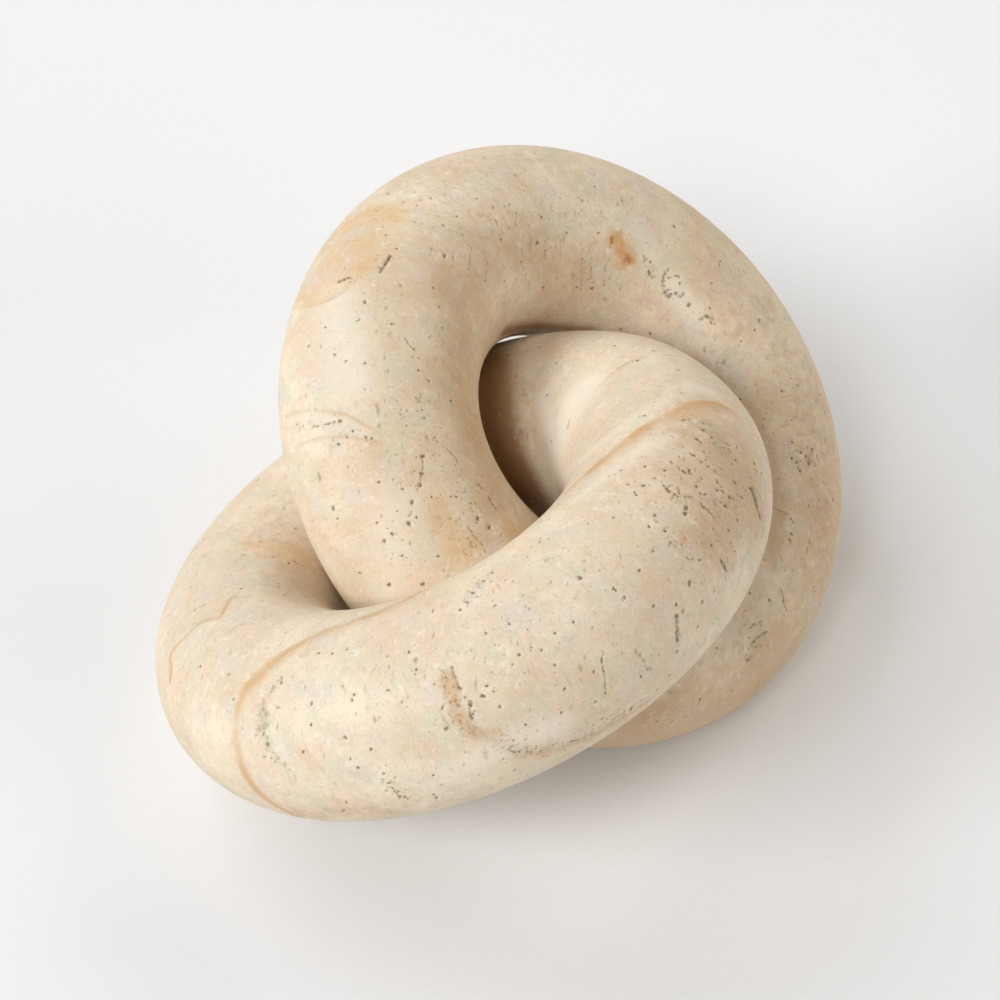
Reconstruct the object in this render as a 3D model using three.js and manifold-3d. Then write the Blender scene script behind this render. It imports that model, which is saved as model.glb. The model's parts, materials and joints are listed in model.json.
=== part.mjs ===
import * as THREE from "three";
import { mergeVertices } from "three/addons/utils/BufferGeometryUtils.js";
import Module from "manifold-3d";

// Two loose limestone rings, linked like two links of a chain. Each is a round stone bar bent
// into a ring, and they rest leaning on each other. Lengths are in millimetres and angles in
// radians. +Z is up, and the origin is on the surface below the middle of the pair.

// Driving dimensions
const BAR_DIAMETER = 46.2; // thickness of the round stone bar of each ring
const HOLE_PLAY = 11.4; // how much wider a ring's hole is than the other ring's bar inside it
const RING_SLIP = 3.1; // distance between the ring centres beyond one thickness of the bar
const RUNNING_GAP = 0.3; // clearance where the two rings lean on each other
const FOOT_DEPTH = 0.5; // height of stone ground away to make each ring's small flat foot

// Fineness of the round surfaces
const STEPS_AROUND_RING = 72;
const STEPS_AROUND_BAR = 36;

// Sizes that follow
const BAR_RADIUS = BAR_DIAMETER / 2;
const RING_RADIUS = BAR_DIAMETER + HOLE_PLAY / 2; // from the ring's centre to the middle of its bar
const CENTRE_DISTANCE = BAR_DIAMETER + RING_SLIP;
const RING_TILT = restingTilt();
const RING_HEIGHT = RING_RADIUS * Math.sin(RING_TILT) + BAR_RADIUS - FOOT_DEPTH;

// The least distance between the middles of the two bars when both rings tilt by this angle
// about the line through their centres, one to each side.
function barSpacing(tilt) {
  const samples = 720;
  const frontAxis = new THREE.Vector3(-Math.sin(tilt), 0, Math.cos(tilt));
  const downhill = new THREE.Vector3(Math.cos(tilt), 0, -Math.sin(tilt));
  let least = Infinity;
  for (let i = 0; i < samples; i++) {
    const turn = (2 * Math.PI * i) / samples;
    // A point in the middle of the back ring's bar, seen from the front ring's centre
    const point = downhill.clone().multiplyScalar(RING_RADIUS * Math.cos(turn));
    point.y += CENTRE_DISTANCE + RING_RADIUS * Math.sin(turn);
    const height = point.dot(frontAxis);
    const reach = Math.sqrt(point.lengthSq() - height * height);
    least = Math.min(least, Math.hypot(height, reach - RING_RADIUS));
  }
  return least;
}

// The flattest tilt at which the bars clear each other: there the rings wedge and rest.
function restingTilt() {
  let low = 0;
  let high = Math.PI / 4;
  for (let halving = 0; halving < 40; halving++) {
    const middle = (low + high) / 2;
    if (barSpacing(middle) < BAR_DIAMETER + RUNNING_GAP) low = middle;
    else high = middle;
  }
  return high;
}

const wasm = await Module();
wasm.setup();

// A closed three.js geometry as a solid that can be cut
function solidOf(geometry) {
  const bare = geometry.clone();
  bare.deleteAttribute("normal");
  bare.deleteAttribute("uv");
  const merged = mergeVertices(bare, 1e-4);
  return new wasm.Manifold(
    new wasm.Mesh({
      numProp: 3,
      vertProperties: merged.getAttribute("position").array,
      triVerts: new Uint32Array(merged.getIndex().array),
    }),
  );
}

// A cut solid as a three.js geometry with flat facets
function geometryOf(solid) {
  const mesh = solid.getMesh();
  const geometry = new THREE.BufferGeometry();
  geometry.setAttribute("position", new THREE.BufferAttribute(mesh.vertProperties, 3));
  geometry.setIndex(new THREE.BufferAttribute(mesh.triVerts, 1));
  const faceted = geometry.toNonIndexed();
  faceted.computeVertexNormals();
  return faceted;
}

// Everything below the surface that the pair rests on, seen from a mesh's own place
function belowTheSurface(place) {
  const width = 4 * (RING_RADIUS + BAR_RADIUS);
  const slab = new THREE.BoxGeometry(width, width, width);
  slab.translate(0, 0, -width / 2);
  place.updateMatrix();
  return slab.applyMatrix4(place.matrix.clone().invert());
}

// One ring, its own centre as origin and its own axis as Z, put in its resting place: it tilts
// down towards +X and its foot is ground flat along the surface.
function leaningRing(name, material) {
  const bar = new THREE.TorusGeometry(RING_RADIUS, BAR_RADIUS, STEPS_AROUND_BAR, STEPS_AROUND_RING);
  const ring = new THREE.Mesh(bar, material);
  ring.name = name;
  ring.position.set(0, CENTRE_DISTANCE / 2, RING_HEIGHT);
  ring.rotation.y = RING_TILT;
  ring.geometry = geometryOf(solidOf(bar).subtract(solidOf(belowTheSurface(ring))));
  return ring;
}

// Polished limestone, the front ring a little paler
const backStone = new THREE.MeshStandardMaterial({ color: 0xdfcaa4, roughness: 0.55, metalness: 0 });
const frontStone = new THREE.MeshStandardMaterial({ color: 0xe4d2af, roughness: 0.55, metalness: 0 });

// The two rings are alike: the front one is the back one turned half round about +Z.
const backPlace = new THREE.Group();
backPlace.add(leaningRing("back_ring", backStone));

const frontPlace = new THREE.Group();
frontPlace.rotation.z = Math.PI;
frontPlace.add(leaningRing("front_ring", frontStone));

const stoneKnot = new THREE.Group();
stoneKnot.add(backPlace, frontPlace);

export default stoneKnot;
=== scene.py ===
"""Looks of two linked limestone rings that lean on each other: carved surface, stone and studio."""
import json
import logging
import math
import random
from collections.abc import Iterable, Sequence
from dataclasses import dataclass, field
from enum import Enum

import bmesh
import bpy
import numpy as np
from mathutils import Matrix, Vector, kdtree, noise


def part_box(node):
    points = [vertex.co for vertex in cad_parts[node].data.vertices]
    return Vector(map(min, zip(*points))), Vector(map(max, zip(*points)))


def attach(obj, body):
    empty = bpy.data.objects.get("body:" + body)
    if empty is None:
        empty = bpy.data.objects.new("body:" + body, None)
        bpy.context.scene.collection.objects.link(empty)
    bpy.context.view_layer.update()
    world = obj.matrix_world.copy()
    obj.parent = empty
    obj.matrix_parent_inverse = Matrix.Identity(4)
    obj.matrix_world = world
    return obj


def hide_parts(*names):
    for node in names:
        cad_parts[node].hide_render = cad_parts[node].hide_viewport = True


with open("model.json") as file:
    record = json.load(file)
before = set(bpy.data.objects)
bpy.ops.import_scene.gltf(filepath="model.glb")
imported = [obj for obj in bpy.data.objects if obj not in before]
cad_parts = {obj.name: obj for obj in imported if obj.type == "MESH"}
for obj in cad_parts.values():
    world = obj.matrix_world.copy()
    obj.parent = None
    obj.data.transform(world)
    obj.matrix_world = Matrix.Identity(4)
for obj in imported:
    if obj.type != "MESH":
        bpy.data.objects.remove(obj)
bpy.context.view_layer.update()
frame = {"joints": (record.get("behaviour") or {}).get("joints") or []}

MM = 0.001
PHOTO_WIDTH = 1000
NOISE_MIDDLE = 0.5
NOISE_SEED = 1
LOG = logging.getLogger("stone_rings")

Pair = tuple[float, float]
Paint = tuple[int, int, int]


def linear(paint: Paint) -> tuple[float, float, float, float]:
    """Turns a colour as it looks on a screen, 0 to 255 a channel, into the renderer's own.

    Args:
        paint: red, green and blue, 0 to 255.

    Returns:
        Red, green, blue and alpha, 0 to 1.
    """
    # The screen curve of the sRGB standard.
    knee, slope, offset, power = 0.04045, 12.92, 0.055, 2.4
    shares = [channel / 255 for channel in paint]
    return tuple(s / slope if s <= knee else ((s + offset) / (1 + offset)) ** power for s in shares) + (1.0,)


def smooth(value: float | np.ndarray, low: float, high: float) -> float | np.ndarray:
    """Rises smoothly from 0 at low to 1 at high."""
    share = np.clip((value - low) / (high - low), 0, 1)
    return share * share * (3 - 2 * share)


def wave(place: Vector, per_metre: float, middle: float, swing: float) -> float:
    """A number that changes smoothly and by chance from place to place, up to swing from its middle."""
    return middle + swing * noise.noise(place * per_metre)


def put(name: str, data: object) -> bpy.types.Object:
    """Adds an object to the scene.

    Args:
        name: its name.
        data: its mesh, light or camera.

    Returns:
        The object.
    """
    placed = bpy.data.objects.new(name, data)
    bpy.context.scene.collection.objects.link(placed)
    return placed


def search_tree(points: Sequence[object]) -> kdtree.KDTree:
    """Prepares a search for the points near a place.

    Args:
        points: the points.

    Returns:
        The search tree, which gives a point's index.
    """
    tree = kdtree.KDTree(len(points))
    for index, point in enumerate(points):
        tree.insert(point, index)
    tree.balance()
    return tree


@dataclass(frozen=True)
class RingPlace:
    """Where a ring rests: its centre and axis, and its two radii in metres."""

    centre: Vector
    axis: Vector
    ring_radius: float
    bar_radius: float

    @property
    def downhill(self) -> Vector:
        """The steepest direction in the ring's plane, down towards its foot."""
        return Vector((0, 0, 1)).cross(self.axis).cross(self.axis).normalized()

    @property
    def matrix(self) -> Matrix:
        """The ring's own frame, with X downhill and Z along its axis, as a placing matrix."""
        turn = Matrix((self.downhill, self.axis.cross(self.downhill), self.axis)).transposed()
        return Matrix.Translation(self.centre) @ turn.to_4x4()

    def clearance(self, point: Vector) -> float:
        """Distance from a point to the ring's surface.

        Args:
            point: the point.

        Returns:
            The distance, negative inside the stone.
        """
        offset = point - self.centre
        height = offset.dot(self.axis)
        reach = math.sqrt(max(offset.length_squared - height * height, 0.0))
        return math.hypot(height, reach - self.ring_radius) - self.bar_radius

    def at(self, ring_angle: float, bar_angle: float) -> Vector:
        """The point at an angle round the ring from its foot and one round the bar from outside.

        Args:
            ring_angle: degrees.
            bar_angle: degrees, positive towards the side that the axis points to.

        Returns:
            The point on the surface.
        """
        around, over = math.radians(ring_angle), math.radians(bar_angle)
        reach = self.ring_radius + self.bar_radius * math.cos(over)
        local = Vector((reach * math.cos(around), reach * math.sin(around), self.bar_radius * math.sin(over)))
        return self.matrix @ local

    def angles(self, points: np.ndarray) -> tuple[np.ndarray, np.ndarray]:
        """Turns points of the surface into angles.

        Args:
            points: an array of points, one a row.

        Returns:
            The angles round the ring and round the bar, in degrees.
        """
        local = (points - np.array(self.centre)) @ np.array(self.matrix.to_3x3())
        around = np.degrees(np.arctan2(local[:, 1], local[:, 0]))
        reach = np.hypot(local[:, 0], local[:, 1]) - self.ring_radius
        return around, np.degrees(np.arctan2(local[:, 2], reach))

    def project(self, points: np.ndarray) -> tuple[np.ndarray, np.ndarray]:
        """Moves points onto the ring's surface.

        Args:
            points: an array of points, one a row.

        Returns:
            The points on the surface, and the outward directions there.
        """
        axis = np.array(self.axis)
        offset = points - np.array(self.centre)
        level = offset - np.outer(offset @ axis, axis)
        level /= np.linalg.norm(level, axis=1)[:, None]
        middle = level * self.ring_radius
        outward = offset - middle
        outward /= np.linalg.norm(outward, axis=1)[:, None]
        return np.array(self.centre) + middle + outward * self.bar_radius, outward

    def outward(self, point: Vector) -> Vector:
        """The direction that points straight out of the surface at a point."""
        return Vector(self.project(np.array([tuple(point)]))[1][0])


@dataclass(frozen=True)
class PhotoView:
    """The camera that took the photograph, lengths in metres and angles in degrees."""

    azimuth: float = 27.25
    elevation: float = 47.13
    roll: float = 5.45
    distance: float = 0.75
    aim: tuple[float, float, float] = (-0.00344, -0.00138, 0.05112)
    lens: float = 115.75
    sensor: float = 36.0

    @property
    def turn(self) -> Matrix:
        """Works out how the camera is turned.

        Returns:
            Its right, up and backward directions, as the columns of a matrix.
        """
        azimuth, elevation = math.radians(self.azimuth), math.radians(self.elevation)
        back = Vector((
            math.sin(azimuth) * math.cos(elevation),
            -math.cos(azimuth) * math.cos(elevation),
            math.sin(elevation),
        ))
        level = Vector((0, 0, 1)).cross(back).normalized()
        right = Matrix.Rotation(math.radians(self.roll), 3, back) @ level
        return Matrix((right, back.cross(right), back)).transposed()

    @property
    def place(self) -> Vector:
        """Where the camera stands."""
        return Vector(self.aim) + self.turn.col[2] * self.distance

    def touch(self, pixel: Pair, ring: RingPlace) -> Vector | None:
        """Finds the point of a ring's surface that a pixel of the photograph shows.

        Args:
            pixel: a place in the photograph.
            ring: the ring it lies on.

        Returns:
            The point, or None where the pixel misses the ring.
        """
        across = (pixel[0] / PHOTO_WIDTH - 0.5) * self.sensor / self.lens
        down = (pixel[1] / PHOTO_WIDTH - 0.5) * self.sensor / self.lens
        direction = (self.turn @ Vector((across, -down, -1))).normalized()
        empty_share, most_steps, close_enough = 0.7, 120, 0.02 * MM
        travelled = self.distance * empty_share
        for _ in range(most_steps):
            point = self.place + direction * travelled
            clearance = ring.clearance(point)
            if clearance < close_enough:
                return point
            travelled += clearance
        return None

    def shows(self, point: Vector, ring: RingPlace, other: RingPlace) -> bool:
        """Whether the photograph shows a point of a ring, or nearly does.

        Args:
            point: a point on the ring.
            ring: the ring that the point lies on.
            other: the ring that may hide it.

        Returns:
            True where the point can be seen.
        """
        slightly_averted, stride = -0.05, 4 * MM
        towards = (self.place - point).normalized()
        if ring.outward(point).dot(towards) < slightly_averted:
            return False
        spots = (point + towards * (stride * step) for step in range(2, 40))
        return all(min(ring.clearance(spot), other.clearance(spot)) > 0 for spot in spots)

    def build(self) -> None:
        """Makes the camera and lets the scene look through it."""
        lens = bpy.data.cameras.new("photo_view")
        lens.sensor_width = self.sensor
        lens.lens = self.lens
        lens.clip_start = 0.01
        lens.clip_end = 50
        camera = put("photo_view", lens)
        camera.matrix_world = Matrix.Translation(self.place) @ self.turn.to_4x4()
        bpy.context.scene.camera = camera


class Chart(Enum):
    """What the pairs of a route are."""

    PHOTO = "pixels of the photograph"
    RING = "degrees round the ring and round the bar"


@dataclass(frozen=True)
class Route:
    """A path on a ring's surface."""

    chart: Chart
    spots: tuple[Pair, ...]

    def points(self, view: PhotoView, ring: RingPlace, fineness: int = 1) -> list[Vector]:
        """Lays the path on a ring.

        Args:
            view: the photograph's camera.
            ring: the ring.
            fineness: how many steps each stretch is rounded into.

        Returns:
            Points on the surface.
        """
        placed = []
        for spot in self.rounded(fineness):
            point = ring.at(*spot) if self.chart is Chart.RING else view.touch(spot, ring)
            if point is not None:
                placed.append(point)
        return placed

    def rounded(self, fineness: int) -> list[Pair]:
        """Bends the path into a smooth curve through its spots.

        Args:
            fineness: how many steps each stretch is rounded into; 1 leaves the path as it is.

        Returns:
            The spots of the curve.
        """
        if fineness == 1 or len(self.spots) < 3:
            return list(self.spots)
        ends = np.array([self.spots[0], *self.spots, self.spots[-1]], dtype=float)
        curve = []
        for i in range(1, len(ends) - 2):
            before, start, end, after = ends[i - 1:i + 3]
            for t in np.linspace(0, 1, fineness, endpoint=False):
                turn = (end - before) * t + (2 * before - 5 * start + 4 * end - after) * t * t
                curve.append(tuple(start + 0.5 * (turn + (3 * (start - end) + after - before) * t ** 3)))
        return [*curve, tuple(ends[-1])]


def pixels(*spots: Pair) -> Route:
    """A path through pixels of the photograph."""
    return Route(Chart.PHOTO, spots)


def degrees(*spots: Pair) -> Route:
    """A path through angles round the ring and round the bar, for sides that the photograph lacks."""
    return Route(Chart.RING, spots)


class Soil(Enum):
    """What fills a hollow, colours a patch, paints shade or light, or roughens it; the value is its mesh
    attribute's name.
    """

    EARTH = "earth"
    RUST = "rust"
    # Ochre: real stains, and a painted warm glow in the front ring's hole.
    OCHRE = "ochre"
    ASH = "ash"
    # Chalk: real pale patches, and painted light in the front ring's hole and on its lower edge.
    CHALK = "chalk"
    # Tan: real stains, and painted shade on shaded sides and along the rings' contact line.
    TAN = "tan"
    GRIT = "grit"
    # Painted shade where the rings meet and in the hole between them.
    PAINTED_SHADE = "painted_shade"


class Trait(Enum):
    """What the mesh stores of the nearest vein; the value is the attribute's name."""

    CORE = "vein_core"
    BAND = "vein_band"
    SHARE = "vein_share"
    WARMTH = "vein_warmth"


@dataclass(frozen=True)
class Pits:
    """A group of small open pits of like width, in millimetres; dirt is how dark they are."""

    name: str
    width: float
    route: Route
    dirt: float = 0.8


@dataclass(frozen=True)
class Cut:
    """A crack or a crowd of pits along a path, its width and depth in millimetres.

    breaks is the share left out, scatter how far it strays in widths, dirt how dark it is.
    """

    name: str
    route: Route
    width: float
    depth: float = 0.2
    breaks: float = 0.3
    scatter: float = 1.0
    dirt: float = 0.7


@dataclass(frozen=True)
class Flecks:
    """Chance pits close to a path: how far they stray and how wide they are, in millimetres.

    The name also starts their random draws.
    """

    name: str
    route: Route
    spread: float
    count: int
    width: float = 0.5
    dirt: float = 0.7


@dataclass(frozen=True)
class Stain:
    """A coloured patch along a path, its width in millimetres."""

    name: str
    soil: Soil
    route: Route
    width: float
    strength: float = 1.0


@dataclass(frozen=True)
class Vein:
    """A bedding vein: a thin core, and a soft band on one side of it, in millimetres.

    A positive band lies on the left of the path as seen from outside, a negative one on the right.
    warmth runs from 0, tan, to 1, rust, and taper is how long the fading ends are.
    """

    name: str
    route: Route
    core: float
    band: float
    warmth: float = 0.3
    strength: float = 1.0
    taper: float = 9.0


@dataclass(frozen=True)
class Swelling:
    """A place where the hand-cut bar is fuller than round: angles in degrees, height in millimetres."""

    ring_angle: float
    ring_reach: float
    bar_angle: float
    bar_reach: float
    height: float

    def lift(self, ring: RingPlace, points: np.ndarray) -> np.ndarray:
        """How far it raises points of the surface.

        Args:
            ring: the ring.
            points: an array of points, one a row.

        Returns:
            One height for each point, in metres.
        """
        flat_part = 0.35
        around, over = ring.angles(points)
        along = np.abs((around - self.ring_angle + 180) % 360 - 180)
        across = np.abs((over - self.bar_angle + 180) % 360 - 180)
        rise = 1 - smooth(along, self.ring_reach * flat_part, self.ring_reach)
        return rise * (1 - smooth(across, 0, self.bar_reach)) * self.height * MM


@dataclass(frozen=True)
class Marks:
    """Everything that sets one ring's surface apart from plain stone."""

    pits: tuple[Pits, ...]
    flecks: tuple[Flecks, ...]
    cuts: tuple[Cut, ...]
    stains: tuple[Stain, ...]
    veins: tuple[Vein, ...]
    swellings: tuple[Swelling, ...] = ()


class Value:
    """A number in a node tree that Python expressions can be written on."""

    def __init__(self, bench: "Bench", socket: bpy.types.NodeSocket) -> None:
        """Wraps an output socket of a tree."""
        self.bench = bench
        self.socket = socket

    def maths(self, operation: str, *others: "Value | float") -> "Value":
        """Adds a Math node on this value and the others, and returns its result."""
        node = self.bench.node("ShaderNodeMath", {"operation": operation}, (self, *others))
        return Value(self.bench, node.outputs[0])

    def __add__(self, other: "Value | float") -> "Value":
        """Sum."""
        return self.maths("ADD", other)

    __radd__ = __add__

    def __mul__(self, other: "Value | float") -> "Value":
        """Product."""
        return self.maths("MULTIPLY", other)

    __rmul__ = __mul__

    def __sub__(self, other: "Value | float") -> "Value":
        """Difference."""
        return self.maths("SUBTRACT", other)

    def __rsub__(self, other: float) -> "Value":
        """Difference from a number."""
        return (self * -1.0) + other

    def most(self, other: "Value | float") -> "Value":
        """The larger of two values."""
        return self.maths("MAXIMUM", other)

    def size(self) -> "Value":
        """The value without its sign."""
        return self.maths("ABSOLUTE")

    def swing(self, amount: float) -> "Value":
        """How far a noise strays from its middle, times an amount."""
        return (self - NOISE_MIDDLE) * amount

    def step(self, low: float, high: float) -> "Value":
        """Rises smoothly from 0 to 1.

        Args:
            low: where it starts to rise; where this is the larger number, it falls instead.
            high: where it reaches 1.

        Returns:
            The risen value.
        """
        if low > high:
            return 1.0 - self.step(high, low)
        settings = {"interpolation_type": "SMOOTHSTEP"}
        node = self.bench.node("ShaderNodeMapRange", settings, (self, low, high, 0.0, 1.0))
        return Value(self.bench, node.outputs[0])


class Bench:
    """A node tree and the few calls that fill it."""

    def __init__(self, tree: bpy.types.NodeTree) -> None:
        """Takes a tree and clears it."""
        self.tree = tree
        tree.nodes.clear()

    @classmethod
    def of(cls, owner: bpy.types.Material | bpy.types.World) -> "Bench":
        """Starts the tree of a material or a world."""
        owner.use_nodes = True
        return cls(owner.node_tree)

    def node(
        self,
        kind: str,
        settings: dict[str, object] | None = None,
        inputs: "Sequence[object] | dict[str, object]" = (),
    ) -> bpy.types.Node:
        """Adds any node.

        Args:
            kind: the node's type.
            settings: its properties, which are set before its inputs.
            inputs: numbers, colours, vectors, sockets or values, in order or by the inputs' names.

        Returns:
            The node.
        """
        made = self.tree.nodes.new(kind)
        for name, setting in (settings or {}).items():
            setattr(made, name, setting)
        pairs = inputs.items() if isinstance(inputs, dict) else enumerate(inputs)
        for key, given in pairs:
            self.feed(made.inputs[key], given)
        return made

    def feed(self, target: bpy.types.NodeSocket, given: object) -> None:
        """Links a socket or value to an input, or sets the input to a constant.

        Args:
            target: the input.
            given: a value, a socket or a constant; None leaves the input as it is.
        """
        if isinstance(given, Value):
            given = given.socket
        if isinstance(given, bpy.types.NodeSocket):
            self.tree.links.new(given, target)
        elif given is not None:
            target.default_value = given

    def vector(self, operation: str, *inputs: object) -> bpy.types.NodeSocket:
        """Adds a Vector Math node and returns its vector."""
        return self.node("ShaderNodeVectorMath", {"operation": operation}, inputs).outputs[0]

    def dot(self, place: object, direction: Iterable[float]) -> Value:
        """How far a place lies along a direction."""
        node = self.node("ShaderNodeVectorMath", {"operation": "DOT_PRODUCT"}, (place, tuple(direction)))
        return Value(self, node.outputs["Value"])

    def scaled(self, place: object, factor: "Value | float") -> bpy.types.NodeSocket:
        """A vector times a number."""
        node = self.node("ShaderNodeVectorMath", {"operation": "SCALE"}, {"Vector": place, "Scale": factor})
        return node.outputs[0]

    def attribute(self, name: str) -> Value:
        """A number stored on the mesh."""
        node = self.node("ShaderNodeAttribute", {"attribute_name": name})
        return Value(self, node.outputs["Fac"])

    def cloud(self, place: object, width: float, detail: float, roughness: float = 0.55) -> bpy.types.Node:
        """A noise texture whose largest blotches are about width metres across."""
        inputs = {"Vector": place, "Scale": 1 / width, "Detail": detail, "Roughness": roughness}
        return self.node("ShaderNodeTexNoise", None, inputs)

    def blotch(self, place: object, width: float, detail: float = 3.0, roughness: float = 0.55) -> Value:
        """The brightness of a noise texture, about 0.5 in the middle."""
        return Value(self, self.cloud(place, width, detail, roughness).outputs[0])

    def shake(self, place: object, width: float, amount: float, detail: float = 2.0) -> bpy.types.NodeSocket:
        """A place moved about by up to half of amount, with a noise of that width."""
        push = self.vector("SUBTRACT", self.cloud(place, width, detail).outputs[1], (0.5, 0.5, 0.5))
        return self.vector("ADD", place, self.scaled(push, amount))

    def drawn_out(self, place: object, direction: Iterable[float], squeeze: float) -> bpy.types.NodeSocket:
        """Squeezes a place along a direction, which makes a pattern on it longer that way.

        Args:
            place: the place.
            direction: the direction, one unit long.
            squeeze: what is left of lengths that way.

        Returns:
            The squeezed place.
        """
        along = tuple(direction)
        shift = self.scaled(along, self.dot(place, along) * (squeeze - 1.0))
        return self.vector("ADD", place, shift)

    def mix(self, share: object, first: object, second: object) -> bpy.types.NodeSocket:
        """Mixes two colours.

        Args:
            share: how much of the second colour, from 0 to 1.
            first: the first colour.
            second: the second colour.

        Returns:
            The mixed colour.
        """
        node = self.node("ShaderNodeMix", {"data_type": "RGBA", "clamp_factor": True})
        colours = [socket for socket in node.inputs if socket.type == "RGBA"]
        self.feed(node.inputs[0], share)
        self.feed(colours[0], first)
        self.feed(colours[1], second)
        return next(socket for socket in node.outputs if socket.type == "RGBA")


@dataclass(frozen=True)
class Speckle:
    """A layer of small marks, one or none in each cell, lengths in metres."""

    cell: float
    largest: float
    share: float
    crowding: float
    shift: tuple[float, float, float] = (0.0, 0.0, 0.0)

    def cover(self, bench: Bench, place: object, extra: Value) -> Value:
        """Where the marks are.

        Args:
            bench: the material's tree.
            place: the shaded point.
            extra: added to the chance of a mark.

        Returns:
            1 inside a mark and 0 outside.
        """
        smallest, soft_rim, rarity = 0.25, (-0.05, 0.09), 0.95 - self.share
        moved = bench.vector("ADD", place, self.shift)
        bent = bench.shake(moved, self.cell * 0.4, self.cell * 0.7, 3.0)
        inputs = {"Vector": bent, "Scale": 1 / self.cell}
        cells = bench.node("ShaderNodeTexVoronoi", {"feature": "F1"}, inputs)
        draws = bench.node("ShaderNodeSeparateColor", None, (cells.outputs["Color"],))
        crowd = bench.blotch(moved, self.cell * 8, 2.0).swing(self.crowding)
        chance = Value(bench, draws.outputs[0]) + crowd + extra
        size = Value(bench, draws.outputs[1]) * (1 - smallest) + smallest
        inside = size * (self.largest / self.cell) - Value(bench, cells.outputs["Distance"])
        return inside.step(*soft_rim) * chance.step(rarity, rarity + 0.15)


@dataclass(frozen=True)
class Limestone:
    """The finish of one ring: its colours, the run of its grain and the sizes of its patterns in metres."""

    name: str
    cream: Paint = (229, 213, 187)
    beige: Paint = (217, 197, 169)
    peach: Paint = (222, 194, 169)
    moss: Paint = (209, 203, 177)
    lilac: Paint = (212, 199, 187)
    # Brown of real tan stains and tool strokes, and of painted shade on shaded sides.
    brown: Paint = (190, 154, 114)
    tan: Paint = (203, 175, 142)
    # Ochre of real stains, and of the painted warm glow in the front ring's hole.
    ochre: Paint = (217, 180, 132)
    rust: Paint = (206, 157, 102)
    deep_rust: Paint = (160, 106, 60)
    vein_tan: Paint = (203, 167, 125)
    # Brown of the painted shade where the rings meet and in the hole between them.
    earth: Paint = (107, 88, 63)
    painted_shade: Paint = (150, 102, 54)
    slate: Paint = (134, 121, 97)
    ash: Paint = (166, 158, 130)
    # Chalk of pale patches and specks, and of the painted light in the front ring's hole.
    chalk: Paint = (237, 227, 209)
    grain: tuple[float, float, float] = (-0.42, 0.61, 0.68)
    shift: tuple[float, float, float] = (0.0, 0.0, 0.0)
    patch_width: float = 8.5 * MM
    mottle_width: float = 2.4 * MM
    grain_width: float = 0.65 * MM
    roughness: float = 0.56
    relief: float = 0.5 * MM

    def build(self, ring: RingPlace) -> bpy.types.Material:
        """Makes the material.

        Args:
            ring: the ring's place, which the tool marks follow.

        Returns:
            The material.
        """
        material = bpy.data.materials.new(self.name)
        StonePainter(self, ring, Bench.of(material)).paint()
        return material


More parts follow.
